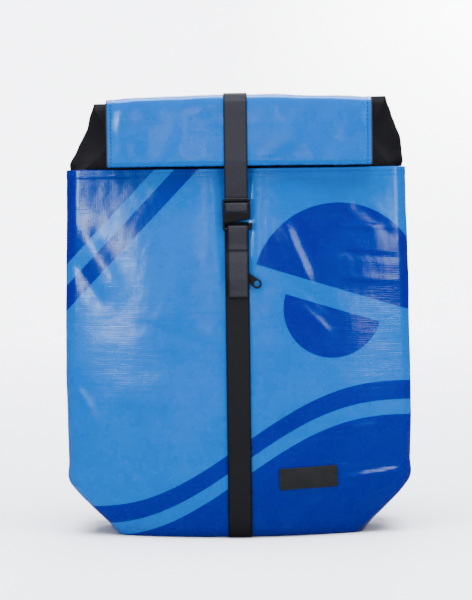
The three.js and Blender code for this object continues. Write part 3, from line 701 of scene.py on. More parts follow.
def beside(line, distance):
    """A line beside a line, to its left, mitred at the bends."""
    line = np.asarray(line, float)
    steps = unit(np.diff(line, axis=0))
    normals = np.stack([-steps[:, 1], steps[:, 0]], axis=1)
    before = np.vstack([normals[:1], normals])
    after = np.vstack([normals, normals[-1:]])
    across = unit(before + after)
    return line + across * (distance / np.einsum("ij,ij->i", across, after))[:, None]


FLAP_CURVE = smooth_line(flap_line(), 210)


def flap_point(x, y, z):
    """Where a point of the flap's middle section lies at x: the ends are lower and further back."""
    bend = ((x - FLAP_LEAN) / (FLAP_WIDTH / 2)) ** 2
    rise = np.clip((z - BODY_HEIGHT) / COLLAR_RISE, 0, 1)
    face = np.clip((-SLOT_AHEAD - y) / ROLL_DEPTH, 0, 1)
    back_bow = float(back_y(x, BODY_HEIGHT) - back_y(0, BODY_HEIGHT))
    bow = FLAP_BOW * bend * face + back_bow * (1 - rise) * (1 - face)
    return y + bow, z - FLAP_CROWN * bend * rise


def flap_relief(x, line):
    """How far the flap's cloth stands off its plain shape, for every point of its line."""
    soft = np.array([
        1.1 * wander(x, y, z, 46, 3.3) + 0.5 * wander(x, y, z, 19, 7.7)
        + 0.9 * wander(x, 0, z, 30, 12.1) * smoothstep(-y, 40, 52) for y, z in line
    ])
    edge = 1 - smoothstep(abs(x - FLAP_LEAN), FLAP_WIDTH / 2 - 14, FLAP_WIDTH / 2 - 2)
    middle = 1 - math.exp(-((x / 16.0) ** 2))
    return soft * edge * middle * smoothstep(line[:, 1], BODY_HEIGHT, BODY_HEIGHT + 14)


def flap_edge_line(x, off):
    """The flap's own line at x, moved off its middle, with the bag's outside to the left."""
    line = beside(FLAP_CURVE, -off)
    y, z = flap_point(x, line[:, 0], line[:, 1])
    return np.stack([np.full_like(y, x), y, z], axis=1)


def make_flap():
    rings = []
    normal = beside(FLAP_CURVE, 1.0) - FLAP_CURVE
    for x in np.linspace(FLAP_LEAN - FLAP_WIDTH / 2, FLAP_LEAN + FLAP_WIDTH / 2, 150):
        line = FLAP_CURVE - normal * flap_relief(x, FLAP_CURVE)[:, None]
        outline = np.vstack([beside(line, TARP / 2), beside(line, -TARP / 2)[::-1]])
        y, z = flap_point(x, outline[:, 0], outline[:, 1])
        rings.append(np.stack([np.full_like(y, x), y, z], axis=1))
    flap = loft("bag_flap", rings, PLAIN)
    finish_piece(flap, "tarpaulin", "top_flap")
    trims = []
    for side, word in SIDES:
        trims += make_flap_edge(side, word)


def make_flap_edge(side, word):
    """Black piping along one end of the flap, and the row of stitches that holds it."""
    edge = FLAP_LEAN + side * FLAP_WIDTH / 2
    piping = tube(f"flap_piping_{word}", flap_edge_line(edge + side * 0.3, 0.0), 1.15, BINDING)
    finish_piece(piping, "collar_cloth")
    x = edge - side * 3.6
    outside = flap_edge_line(x, TARP / 2 + 0.12)
    normals = outside - flap_edge_line(x, 0.0)
    seen = slice(4, int(len(outside) * 0.86))
    row = stitches(f"flap_stitches_{word}", outside[seen], normals[seen], THREAD_BLACK, "tarpaulin", 2.3, 4.2)
    return [piping, row]


# Straps

def corner_arc(before, here, after, radius, steps):
    """Points that round one corner of a line."""
    legs = (before - here, after - here)
    reach = min(radius, *(np.linalg.norm(leg) * 0.45 for leg in legs))
    start, end = (here + unit(leg) * reach for leg in legs)
    return [(1 - t) ** 2 * start + 2 * t * (1 - t) * here + t ** 2 * end for t in np.linspace(0, 1, steps)]


def rounded(path, radius, steps=6):
    """A line whose inner corners are rounded with arcs of about that radius."""
    path = np.array(path, float)
    out = [path[0]]
    for before, here, after in zip(path, path[1:], path[2:]):
        out += corner_arc(before, here, after, radius, steps)
    return np.array([*out, path[-1]])


def rounded_loop(points, radii, steps=5):
    """A closed outline with each corner rounded by its own radius."""
    points = np.array(points, float)
    corners = zip(np.roll(points, 1, axis=0), points, np.roll(points, -1, axis=0), radii)
    return [point for corner in corners for point in corner_arc(*corner, steps)]


# The section of flat webbing, from edge to edge: its thick rims and its slightly hollow middle
WEBBING_ACROSS = np.array([-1, -0.985, -0.93, -0.86, -0.45, 0, 0.45, 0.86, 0.93, 0.985, 1])
WEBBING_DEPTH = np.array([0.0, 0.66, 1.0, 0.86, 0.92, 0.95, 0.92, 0.86, 1.0, 0.66, 0.0])


def ribbon(name, points, sides, width, material, step=1.6):
    """Flat webbing along a line of points; sides is the direction of its width."""
    points = np.asarray(points, float)
    lengths = lengths_along(points)
    where = np.linspace(0, lengths[-1], max(int(lengths[-1] / step), 4) + 1)
    line = at_lengths(where, lengths, points)
    side = unit(np.asarray(sides, float))
    face = unit(np.cross(np.gradient(line, axis=0), side))
    across = np.concatenate([WEBBING_ACROSS, WEBBING_ACROSS[-2:0:-1]])
    depth = np.concatenate([WEBBING_DEPTH, -WEBBING_DEPTH[-2:0:-1]])
    rings = [middle + side * (across * width / 2)[:, None] + out * (depth * WEBBING / 2)[:, None]
             for middle, out in zip(line, face)]
    us = (1 - np.abs(across)) * width / 2 * MM
    return loft(name, rings, material, uv=lambda ring, point: (us[point], where[ring] * MM))


def strap(name, path, width, material, step=1.6, x=0.0):
    """Webbing along a line of the YZ plane, in or near the middle of the bag."""
    path = np.asarray(path, float)
    points = np.column_stack([np.full(len(path), x), path])
    return ribbon(name, points, (1, 0, 0), width, material, step=step)


def tube(name, points, radius, material, sides=8):
    """A round cord or piping along a line of points."""
    points = np.asarray(points, float)
    along = unit(np.gradient(points, axis=0))
    turn = np.linspace(0, 2 * math.pi, sides, endpoint=False)
    across = np.cross(along[0], (1, 0, 0) if abs(along[0][0]) < 0.8 else (0, 0, 1))
    rings = []
    for point, ahead in zip(points, along):
        across = unit(across - ahead * across.dot(ahead))
        up = np.cross(ahead, across)
        rings.append(point + radius * (np.outer(np.cos(turn), across) + np.outer(np.sin(turn), up)))
    return loft(name, rings, material)


STRAP_WIDTH = 25
LOOP_WIDTH = 21
LOOP_SHIFT = 1.1
BUCKLE_LOW, BUCKLE_HIGH = box_mm("hook_buckle")
BUCKLE_Y = (BUCKLE_LOW[1] + BUCKLE_HIGH[1]) / 2
BUCKLE_THICK = BUCKLE_HIGH[1] - BUCKLE_LOW[1]
BUCKLE_TOP = BUCKLE_HIGH[2]
BUCKLE_FOOT = BUCKLE_LOW[2]
BUCKLE_HALF = -BUCKLE_LOW[0]
BUCKLE_BEVEL = 0.9
BAR_HIGH = 3.4
UPPER_SLOT_HIGH = 3.4
MIDDLE_BAR_HIGH = 5.6
LOWER_SLOT_HIGH = 2.0
UPPER_SLOT = BUCKLE_TOP - BAR_HIGH - UPPER_SLOT_HIGH / 2
LOWER_SLOT = UPPER_SLOT - UPPER_SLOT_HIGH / 2 - MIDDLE_BAR_HIGH - LOWER_SLOT_HIGH / 2
BUCKLE_LAYER = BUCKLE_THICK / 2 + GAP + WEBBING / 2
TAIL_TOP = 378
YOKE_FOOT = 318
YOKE_HIGH = 26
YOKE_THICK = 2
YOKE_FACE = float(back_y(0, YOKE_FOOT + YOKE_HIGH / 2)) + GAP + YOKE_THICK
UPPER_STRAP_END = 326


def make_upper_strap():
    over = TARP / 2 + GAP + WEBBING / 2
    crest = int(np.argmax(FLAP_CURVE[:, 1]))
    foot = next(i for i in range(crest, len(FLAP_CURVE))
                if FLAP_CURVE[i, 1] < mix(FLAP_FOOT, FLAP_TOP, 0.05))
    upper = beside(FLAP_CURVE[:foot:4], -over)
    on_yoke = YOKE_FACE + GAP + WEBBING / 2
    tail = BUCKLE_Y + BUCKLE_LAYER + WEBBING + GAP
    bends = rounded([
        (BUCKLE_Y + BUCKLE_LAYER, BUCKLE_TOP + 6), (BUCKLE_Y + BUCKLE_LAYER, UPPER_SLOT),
        (BUCKLE_Y - BUCKLE_LAYER, UPPER_SLOT), (BUCKLE_Y - BUCKLE_LAYER, LOWER_SLOT),
        (tail, LOWER_SLOT), (tail, TAIL_TOP),
    ], 1.6)
    start = [(on_yoke, UPPER_STRAP_END), (on_yoke, YOKE_FOOT + YOKE_HIGH + 2)]
    path = np.vstack([start, upper, bends])
    # The lighter webbing copy paints the light that falls on the upper strap.
    piece = strap("upper_strap", path, STRAP_WIDTH - 0.6, WEB_PAINTED_LIT, step=0.9)
    return finish_piece(piece, "webbing", "strap_upper")


SLIDER_HEIGHT = 283
SLIDER_LONG = 12
SLIDER_THICK = 3.6
ZIP_THICK = 0.8
STRAP_OFF = GAP + ZIP_THICK + GAP + WEBBING / 2
LOWER_STRAP_TOP = 318
BEHIND_BUCKLE = 15
LOOP_END = 303
LOOP_SEWN_END = 251


def lower_strap_y(z):
    reach = SLIDER_LONG / 2 + 2
    rise = 1 - smoothstep(abs(z - SLIDER_HEIGHT), reach, reach + SLIDER_LONG * 1.4)
    return float(front_y(0, z)) - STRAP_OFF - (SLIDER_THICK + GAP * 1.5) * rise


def lower_strap_line():
    top = LOWER_STRAP_TOP + BEHIND_BUCKLE
    heights = [2 * GAP, 4, 7.5, 10.6, 18, 28, 38, 46.5, 56, *np.arange(64, top, 6), top]
    return np.array([(lower_strap_y(z), z) for z in heights])


def make_lower_strap():
    piece = strap("lower_strap", lower_strap_line(), STRAP_WIDTH, WEB)
    return finish_piece(piece, "webbing", "strap_lower")


def make_loop():
    layer = WEBBING + GAP
    bar_top = BUCKLE_FOOT + BAR_HIGH + 0.6 + GAP + WEBBING / 2
    line = lower_strap_line()
    rear = [p for p in beside(line, layer) if LOOP_SEWN_END <= p[1] < LOWER_STRAP_TOP - 3]
    front = [p for p in beside(line, 2 * layer + 0.1) if LOOP_END <= p[1] < LOWER_STRAP_TOP - 6]
    bends = rounded([
        (BUCKLE_Y + BUCKLE_LAYER, BUCKLE_FOOT + 0.5), (BUCKLE_Y + BUCKLE_LAYER, bar_top),
        (BUCKLE_Y - BUCKLE_LAYER, bar_top), (BUCKLE_Y - BUCKLE_LAYER, BUCKLE_FOOT - 1),
    ], 1.5)
    # The lighter webbing copy paints the light that falls on the loop.
    piece = strap("buckle_loop", np.vstack([rear, bends, front[::-1]]), LOOP_WIDTH, WEB_PAINTED_LIT, 0.9, LOOP_SHIFT)
    return finish_piece(piece, "webbing", "hook_loop")


# Flat hard pieces

def bevelled_plate(name, outline, holes, thick, y_front, bevel, material):
    """A plate cut from an outline of the XZ plane, with rounded edges."""
    curve = bpy.data.curves.new(name, "CURVE")
    curve.dimensions = "2D"
    curve.fill_mode = "BOTH"
    curve.extrude = (thick / 2 - bevel) * MM
    curve.bevel_depth = bevel * MM
    curve.bevel_resolution = 2
    curve.offset = -bevel * MM
    for points in [outline, *holes]:
        spline = curve.splines.new("POLY")
        spline.points.add(len(points) - 1)
        for target, (x, z) in zip(spline.points, points):
            target.co = (x * MM, z * MM, 0, 1)
        spline.use_cyclic_u = True
    holder = bpy.data.objects.new(name + "_curve", curve)
    bpy.context.scene.collection.objects.link(holder)
    bpy.context.view_layer.update()
    mesh = bpy.data.meshes.new_from_object(holder.evaluated_get(bpy.context.evaluated_depsgraph_get()))
    bpy.data.objects.remove(holder)
    bpy.data.curves.remove(curve)
    mesh.transform(Matrix.Rotation(math.pi / 2, 4, "X"))
    mesh.transform(Matrix.Translation((0, (y_front + thick / 2) * MM, 0)))
    made = bpy.data.objects.new(name, mesh)
    mesh.name = name
    bpy.context.scene.collection.objects.link(made)
    mesh.materials.clear()
    mesh.materials.append(material)
    weld(made)
    return made


def weld(made):
    work = bmesh.new()
    work.from_mesh(made.data)
    bmesh.ops.remove_doubles(work, verts=work.verts, dist=1e-6)
    bmesh.ops.recalc_face_normals(work, faces=work.faces)
    work.to_mesh(made.data)
    work.free()


def rectangle(middle, high, half):
    low, top = middle - high / 2, middle + high / 2
    return [(-half, low), (half, low), (half, top), (-half, top)]


def make_buckle():
    side = (BUCKLE_HALF * 2 - STRAP_WIDTH + 1) / 2 - GAP
    half, foot, top = BUCKLE_HALF, BUCKLE_FOOT, BUCKLE_TOP
    tip = half + 1.4
    outline = rounded_loop([
        (-half, top), (-half, foot), (tip, foot + 0.8), (tip, foot + 8.7),
        (half - side, foot + 8.1), (half - side, foot + BAR_HIGH + 0.6),
        (-half + side, foot + BAR_HIGH), (-half + side, foot + 8), (half - side, foot + 12.1),
        (half, foot + 13.1), (half, top),
    ], [4.2, 3.2, 2.4, 0.9, 0.6, 0.9, 0.9, 0.6, 0.5, 1.6, 4.2])
    slots = [rounded_loop(rectangle(UPPER_SLOT, UPPER_SLOT_HIGH, half - side), [0.7] * 4),
             rounded_loop(rectangle(LOWER_SLOT, LOWER_SLOT_HIGH, half - side), [0.7] * 4)]
    piece = bevelled_plate("buckle", outline, slots, BUCKLE_THICK + BUCKLE_BEVEL,
                           BUCKLE_LOW[1] - BUCKLE_BEVEL, BUCKLE_BEVEL, BUCKLE_BLACK)
    return finish_piece(piece, "buckle", "hook_buckle")


# Collar

COLLAR_TUCK = 20
COLLAR_ROWS = table(
    "up left right fold_l fold_r fold_y back_y",
    (-0.30, -178, 178, -161, 161, -40, 48),
    (0.00, -178.2, 178.6, -160, 161, -41, 48),
    (0.08, -179, 181, -152, 158, -43, 43),
    (0.22, -174.8, 179.0, -142, 150, -44, 35),
    (0.40, -168.2, 177.0, -134, 143, -45, 24),
    (0.58, -161.6, 172.4, -134, 143, -45, 10),
    (0.80, -155.2, 165.0, -142, 151, -44, -6),
    (0.94, -149.5, 159.5, -146, 155.5, -42, -20),
    (1.00, -147.5, 157.6, -146.6, 156.8, -39, -31),
)
COLLAR_TILT = 2.4
COLLAR_RISE_PLAIN = 71


def collar_ring(at, up):
    """One level ring of the collar, with a fold in each end that leans out of the hem."""
    left, right, fold_l, fold_r, fold_y, back = (
        float(at[key](up)) for key in ("left", "right", "fold_l", "fold_r", "fold_y", "back_y"))
    belly = 10 * max(1 - max(up, 0) * 1.4, 0)
    swell = 5 * max(1 - max(up, 0) * 1.2, 0)
    side_y = mix(fold_y, back, 0.42)
    back_l, back_r = mix(fold_l, left, 0.75), mix(fold_r, right, 0.75)
    share = np.linspace(0, 1, 61)
    bow = 1 - (2 * share - 1) ** 2
    flat = np.vstack([
        np.stack([mix(fold_l, fold_r, share), fold_y - belly * bow], axis=1),
        bent((fold_r, fold_y), (right, side_y), (back_r, back)),
        np.stack([mix(back_r, back_l, share), back + swell * bow], axis=1)[1:],
        bent((back_l, back), (left, side_y), (fold_l, fold_y))[:-1],
    ])
    z = BODY_HEIGHT + (COLLAR_RISE_PLAIN * up if up > 0 else COLLAR_TUCK * up / 0.3)
    tilt = COLLAR_TILT * max(up, 0) * flat[:, 0] / 155
    return np.column_stack([flat, z + tilt])


def make_collar():
    heights = [row["up"] for row in COLLAR_ROWS]
    at = {key: smooth_table(heights, [row[key] for row in COLLAR_ROWS]) for key in COLLAR_ROWS[0]}
    rings = [collar_relief(collar_ring(at, up)) for up in np.linspace(heights[0], 1.0, 60)]
    collar = loft("bag_collar", rings, COLLAR_CLOTH, caps=False)
    thicken(collar, CLOTH)
    return finish_piece(collar, "collar_cloth", "collar")


def bent(start, peak, end, steps=14):
    """A cloth corner: two straight legs that meet in a soft bend at the peak."""
    return even_points(rounded([start, peak, end], 12, 8), 2 * steps)[1:]


def collar_relief(ring):
    """Small puckers in the black cloth, fading where it goes into the hem."""
    toward = unit((ring[:, :2] - ring[:, :2].mean(axis=0)) * (1, 2))
    amount = np.array([1.9 * wander(*point, 28, 2.2) + 0.7 * wander(*point, 12, 8.8) for point in ring])
    amount *= smoothstep(ring[:, 2], BODY_HEIGHT - 2, BODY_HEIGHT + 12)
    return ring + np.column_stack([toward * amount[:, None], np.zeros(len(ring))])


def thicken(made, wall):
    """Gives an open sheet its thickness, inwards."""
    modifier = made.modifiers.new("wall", "SOLIDIFY")
    modifier.thickness = wall * MM
    modifier.offset = -1
    apply_modifiers(made)


# Stitches

STITCH_SIDES = 6
STITCH_ROWS = table("along size", (0, 0.25), (0.18, 0.85), (0.5, 1.0), (0.82, 0.85), (1, 0.25))


def stitches(name, points, normals, material, slot, long=2.6, pitch=3.8, radius=0.32):
    """A row of short threads lying on a surface, one closed body each, joined in one mesh."""
    points = np.asarray(points, float)
    normals = np.broadcast_to(np.asarray(normals, float), points.shape)
    lengths = lengths_along(points)
    turn = np.linspace(0, 2 * math.pi, STITCH_SIDES, endpoint=False)
    vertices, faces = [], []
    for start in np.arange(pitch / 2, lengths[-1] - long, pitch):
        faces += ring_faces(len(STITCH_ROWS), STITCH_SIDES, len(vertices))
        for row in STITCH_ROWS:
            where = start + long * row["along"]
            centre = at_lengths(where, lengths, points)
            ahead = unit(at_lengths(where + 0.5, lengths, points) - centre)
            normal = unit(at_lengths(where, lengths, normals))
            around = np.outer(np.cos(turn), np.cross(ahead, normal)) + np.outer(np.sin(turn), normal)
            vertices.extend(centre + radius * row["size"] * around)
    return finish_piece(new_object(name, vertices, faces, material), slot)


# Thin pieces that lie on a surface

def laid_sheet(name, at, columns, rows, thick, round_edge, material):
    """A closed thin piece: at(u, v, off) gives its points, with u and v from -0.5 to 0.5."""
    top, under = [], []
    for r in range(rows + 1):
        for c in range(columns + 1):
            u, v = c / columns - 0.5, r / rows - 0.5
            on_edge = c in (0, columns) or r in (0, rows)
            top.append(at(u, v, thick - round_edge * on_edge))
            under.append(at(u, v, 0.0))
    count = len(top)
    grid = np.arange(count).reshape(rows + 1, columns + 1)
    faces = []
    for a in grid[:-1, :-1].ravel().tolist():
        b, d = a + 1, a + columns + 1
        faces.append((a, b, d + 1, d))
        faces.append((count + d, count + d + 1, count + b, count + a))
    border = np.concatenate([grid[0], grid[1:, -1], grid[-1, -2::-1], grid[-2:0:-1, 0]]).tolist()
    for i, a in enumerate(border):
        b = border[(i + 1) % len(border)]
        faces.append((b, a, count + a, count + b))
    made = new_object(name, top + under, faces, material)
    outward(made)
    return made


def rim_height(u, v, wide, high):
    """The patch's moulded rim: a shallow groove a little inside its edge."""
    edge = min((0.5 - abs(u)) * wide, (0.5 - abs(v)) * high)
    return -0.30 * math.exp(-(((edge - 2.2) / 0.45) ** 2))


PATCH_WIDE = 61.7
PATCH_HIGH = 22.9
PATCH_THICK = 1.2
PATCH_TILT = math.radians(2.1)
PATCH_LOW, PATCH_TOP = box_mm("label_patch")


def make_patch():
    middle_x = (PATCH_LOW[0] + PATCH_TOP[0]) / 2
    middle_z = (PATCH_LOW[2] + PATCH_TOP[2]) / 2
    corner = 1.6

    def at(u, v, off):
        wide, high = u * PATCH_WIDE, v * PATCH_HIGH
        over_x = abs(wide) - (PATCH_WIDE / 2 - corner)
        over_z = abs(high) - (PATCH_HIGH / 2 - corner)
        if over_x > 0 and over_z > 0:
            far = max(math.hypot(over_x, over_z), 1e-6)
            shrink = min(1.0, corner / far)
            wide = math.copysign(abs(wide) - over_x * (1 - shrink), wide)
            high = math.copysign(abs(high) - over_z * (1 - shrink), high)
        x = middle_x + wide * math.cos(PATCH_TILT) - high * math.sin(PATCH_TILT)
        z = middle_z + wide * math.sin(PATCH_TILT) + high * math.cos(PATCH_TILT)
        groove = rim_height(u, v, PATCH_WIDE, PATCH_HIGH) if off > 0 else 0.0
        return on_front(x, z, GAP * 0.5 + off + groove)

    patch = laid_sheet("bare_patch", at, 90, 34, PATCH_THICK, 0.35, PATCH_BLACK)
    return finish_piece(patch, "patch_rubber", "label_patch")


ZIP_LOW, ZIP_TOP = box_mm("zip_tape")


def make_zip_tape():
    wide, high = ZIP_TOP[0] - ZIP_LOW[0], ZIP_TOP[2] - ZIP_LOW[2]
    middle = (ZIP_TOP[2] + ZIP_LOW[2]) / 2

    def at(u, v, off):
        x, z = u * wide, middle + v * high
        return np.array([x, float(front_y(x, z)) - GAP * 0.7 - off, z])

    tape = laid_sheet("zip_tape_cloth", at, 10, 90, ZIP_THICK, 0.2, COLLAR_CLOTH)
    finish_piece(tape, "webbing", "zip_tape")
    for side, word in SIDES:
        points = [at(side * 7.6 / wide, v, ZIP_THICK + 0.05) for v in np.linspace(-0.49, 0.49, 60)]
        stitches(f"zip_stitches_{word}", points, (0, -1, 0), THREAD_BLACK, "webbing")


SLIDER_LOW, SLIDER_TOP = box_mm("zip_slider")
PULL_LOW, PULL_TOP = box_mm("zip_pull")
PULL_RING = 5.2
PULL_ROOT = 3.6
PULL_HOLE = 3.05


def make_slider():
    half = (SLIDER_TOP[0] - SLIDER_LOW[0]) / 2
    low, high = SLIDER_LOW[2], SLIDER_TOP[2]
    waist = mix(low, high, 5 / 12)
    outline = rounded_loop([
        (-half, high), (-half, waist), (-half * 0.55, low), (half * 0.55, low), (half, waist), (half, high),
    ], [1.6, 1.2, 0.8, 0.8, 1.2, 1.6])
    thick = SLIDER_TOP[1] - SLIDER_LOW[1]
    slider = bevelled_plate("slider_body", outline, [], thick, SLIDER_LOW[1], 0.6, ZIP_DARK)
    return finish_piece(slider, "zip_metal", "zip_slider")


def circle_points(centre, radius, turns):
    return [(centre[0] + radius * math.cos(t), centre[1] + radius * math.sin(t)) for t in turns]


def make_pull():
    """A flat teardrop: broad under the strap, with a ring at its lower right end."""
    ring = np.array([PULL_TOP[0] - PULL_RING, PULL_LOW[2] + PULL_RING])
    root = np.array([PULL_LOW[0] + PULL_ROOT, PULL_TOP[2] - PULL_ROOT - 1])
    reach = ring - root
    heading = math.atan2(reach[1], reach[0])
    spread = math.acos((PULL_ROOT - PULL_RING) / np.linalg.norm(reach))
    outline = circle_points(ring, PULL_RING, heading + np.linspace(spread - math.pi, math.pi - spread, 30))
    outline += circle_points(root, PULL_ROOT, heading + np.linspace(math.pi - spread, math.pi + spread, 16))
    hole = circle_points(ring, PULL_HOLE, np.linspace(0, 2 * math.pi, 28, endpoint=False))
    thick = PULL_TOP[1] - PULL_LOW[1]
    pull = bevelled_plate("pull_tab", outline, [hole], thick, PULL_LOW[1] - 1.2, 0.4, LOCK_BLACK)
    return finish_piece(pull, "pull_plastic", "zip_pull")


# Back

YOKE_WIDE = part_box("back_yoke")[1][0] * 2 / MM


def box_stitch(name, corner_at):
    """A sewn rectangle with a cross in it: corner_at(u, v) gives points, u and v from -1 to 1."""
    corners = [(-1, -1), (1, -1), (1, 1), (-1, 1), (-1, -1), (1, 1), (1, -1), (-1, 1)]
    points = []
    for (u0, v0), (u1, v1) in zip(corners, corners[1:]):
        points += [corner_at(mix(u0, u1, s), mix(v0, v1, s)) for s in np.linspace(0, 1, 20, endpoint=False)]
    return stitches(name, points, (0, 1, 0), THREAD_BLACK, "webbing", long=2.2, pitch=3.2, radius=0.28)


def make_yoke():
    wide, high = YOKE_WIDE, YOKE_HIGH
    middle = YOKE_FOOT + high / 2

    def at(u, v, off):
        x, z = u * wide, middle + v * high
        return np.array([x, float(back_y(x, z)) + GAP + off, z])

    yoke = laid_sheet("yoke_band", at, 80, 12, YOKE_THICK, 0.6, COLLAR_CLOTH)
    finish_piece(yoke, "webbing", "back_yoke")
    for v, word in ((-0.42, "foot"), (0.42, "top")):
        points = [at(u, v, YOKE_THICK + 0.06) for u in np.linspace(-0.49, 0.49, 120)]
        stitches(f"yoke_stitches_{word}", points, (0, 1, 0), THREAD_BLACK, "webbing")


HAUL_HALF = 38
HAUL_SEWN = 12
HAUL_REACH = 26


def make_haul_loop():
    base = YOKE_FACE + GAP + WEBBING / 2
    share = np.linspace(-1, 1, 61)
    bow = np.column_stack([share * HAUL_HALF, base + HAUL_REACH * (1 - share ** 4)])
    line = np.vstack([[(-HAUL_HALF - HAUL_SEWN, base)], bow, [(HAUL_HALF + HAUL_SEWN, base)]])
    middle = YOKE_FOOT + YOKE_HIGH / 2
    points = np.column_stack([line, np.full(len(line), middle)])
    loop = ribbon("haul_webbing", points, (0, 0, 1), YOKE_HIGH - 2, WEB, step=1.2)
    finish_piece(loop, "webbing", "haul_loop")
    for side, word in SIDES:
        centre = side * (HAUL_HALF + HAUL_SEWN / 2 + 0.6)
        box_stitch(f"haul_box_{word}", lambda u, v, x=centre: (
            x + u * 4.4, base + WEBBING / 2 + 0.05, middle + v * 10))


# Shoulder straps: the same named sizes as the frame's

PAD_WIDE = 60
PAD_THICK = 11
PAD_ACROSS = YOKE_WIDE / 2 - 32
PAD_BOW = 34
PAD_ROWS = table(
    "drop splay bow",
    (-24, 0, 0),
    (-4, 0, 0.03),
    (34, 2, 0.55),
    (84, 5, 1),
)
PAD_END_CLEAR = 5
PAD_LEAD = 30
PAD_END_WIDE = 30
PAD_END_THIN = 0.7
PAD_TAPER_FROM = 0.82
PAD_SQUARE = 0.6
PAD_SWELL_ROOM = 2.6
ANCHOR_ACROSS = BODY_WIDTH / 2 - 73
ANCHOR_UP = 52
ANCHOR_SEWN = 24
WEBBING_RUN = 72
WEBBING_TILT = math.radians(15)
WEBBING_SPLAY = math.radians(8)
WEBBING_TAIL = 60
TAIL_LIFT = 3
LOCK_WIDE = 34
LOCK_HIGH = 25
LOCK_THICK = 3.5
LOCK_SLOT = 4.6
LOCK_BAR = 4.2
LOCK_SIDE = 3.5
LOCK_MIDDLE = WEBBING_RUN + LOCK_HIGH / 2
LOCK_LAYER = LOCK_THICK / 2 + GAP + WEBBING / 2
LOCK_UPPER_SLOT = LOCK_MIDDLE + (LOCK_BAR + LOCK_SLOT) / 2
PAD_END = LOCK_MIDDLE + LOCK_HIGH / 2 + PAD_END_CLEAR


def hanging_frame(side):
    """Where each side's webbing hangs: its z axis runs from the sewn anchor up to the pad."""
    y = float(back_y(ANCHOR_ACROSS - STRAP_WIDTH / 2, ANCHOR_UP)) + GAP * 1.5 + WEBBING / 2
    turn = Matrix.Rotation(-side * WEBBING_SPLAY, 4, "Y") @ Matrix.Rotation(-WEBBING_TILT, 4, "X")
    return Matrix.Translation((side * ANCHOR_ACROSS, y, ANCHOR_UP)) @ turn


def in_frame(frame_matrix, points):
    return np.array([tuple(frame_matrix @ Vector(p)) for p in points])


def hung_strap(name, matrix, path):
    points = in_frame(matrix, [(0, y, z) for y, z in path])
    side = np.array(matrix.to_3x3() @ Vector((1, 0, 0)))
    return ribbon(name, points, side, STRAP_WIDTH, WEB, step=1.0)


def make_lower_webbing(side, word, matrix):
    turn = LOCK_MIDDLE + LOCK_BAR / 2 + GAP + WEBBING / 2
    outside = 2 * LOCK_LAYER
    foot = LOCK_MIDDLE - LOCK_HIGH / 2
    sewn = (math.sin(WEBBING_TILT) * ANCHOR_SEWN, -math.cos(WEBBING_TILT) * ANCHOR_SEWN)
    path = np.vstack([
        [sewn], rounded([sewn, (0, 0), (0, turn), (outside, turn), (outside, foot - LOCK_BAR)], 2.2)[1:],
        smooth_line([(outside, foot - LOCK_BAR - 1), (outside + 0.4, foot - 22),
                     (outside + TAIL_LIFT, foot - WEBBING_TAIL)], 30),
    ])
    piece = hung_strap(f"lower_strap_{word}", matrix, path)
    finish_piece(piece, "webbing", f"lower_webbing_{word}")
    box_stitch(f"anchor_box_{word}", lambda u, v: np.array(matrix @ Vector((
        u * 9, sewn[0] * (0.5 - v * 0.4) + WEBBING / 2 + 0.1, sewn[1] * (0.5 - v * 0.4)))))


def make_lock(word, matrix):
    half = LOCK_WIDE / 2
    low, high = LOCK_MIDDLE - LOCK_HIGH / 2, LOCK_MIDDLE + LOCK_HIGH / 2
    outline = rounded_loop([(-half, low), (half, low), (half, high), (-half, high)], [2.4] * 4)
    slots = []
    for side in (1, -1):
        middle = LOCK_MIDDLE + side * (LOCK_BAR + LOCK_SLOT) / 2
        slots.append(rounded_loop(rectangle(middle, LOCK_SLOT, half - LOCK_SIDE), [0.9] * 4))
    lock = bevelled_plate(f"ladder_plate_{word}", outline, slots, LOCK_THICK,
                          LOCK_LAYER - LOCK_THICK / 2, 0.8, LOCK_BLACK)
    metres = Matrix.Translation(matrix.to_translation() * MM) @ matrix.to_3x3().to_4x4()
    lock.data.transform(metres)
    finish_piece(lock, "lock_plastic", f"ladder_lock_{word}")


def pad_path(side, matrix):
    start = YOKE_FACE + GAP + PAD_THICK / 2
    points = [(side * (PAD_ACROSS + row["splay"]), start + PAD_BOW * row["bow"], YOKE_FOOT - row["drop"])
              for row in PAD_ROWS]
    ends = in_frame(matrix, [(0, LOCK_LAYER, PAD_END + PAD_LEAD), (0, LOCK_LAYER, PAD_END)])
    return curve_through(np.vstack([points, ends]), 90)


def curve_through(points, steps):
    """Evenly spaced points on a smooth curve through points in space."""
    lengths = lengths_along(points, 0.5)
    fine = np.linspace(0, lengths[-1], steps * 6)
    curve = np.stack([smooth_table(lengths, column)(fine) for column in points.T], axis=1)
    return even_points(curve, steps)


def pad_sizes(share):
    taper = float(smoothstep(share, PAD_TAPER_FROM, 1))
    return mix(PAD_WIDE, PAD_END_WIDE, taper), PAD_THICK * mix(1, PAD_END_THIN, taper)


def pad_axes(path):
    """The directions across a pad and out of its face, at each point of its path."""
    along = unit(np.gradient(path, axis=0))
    across = unit(np.array([1.0, 0, 0]) - along * along[:, :1])
    return across, np.cross(across, along)


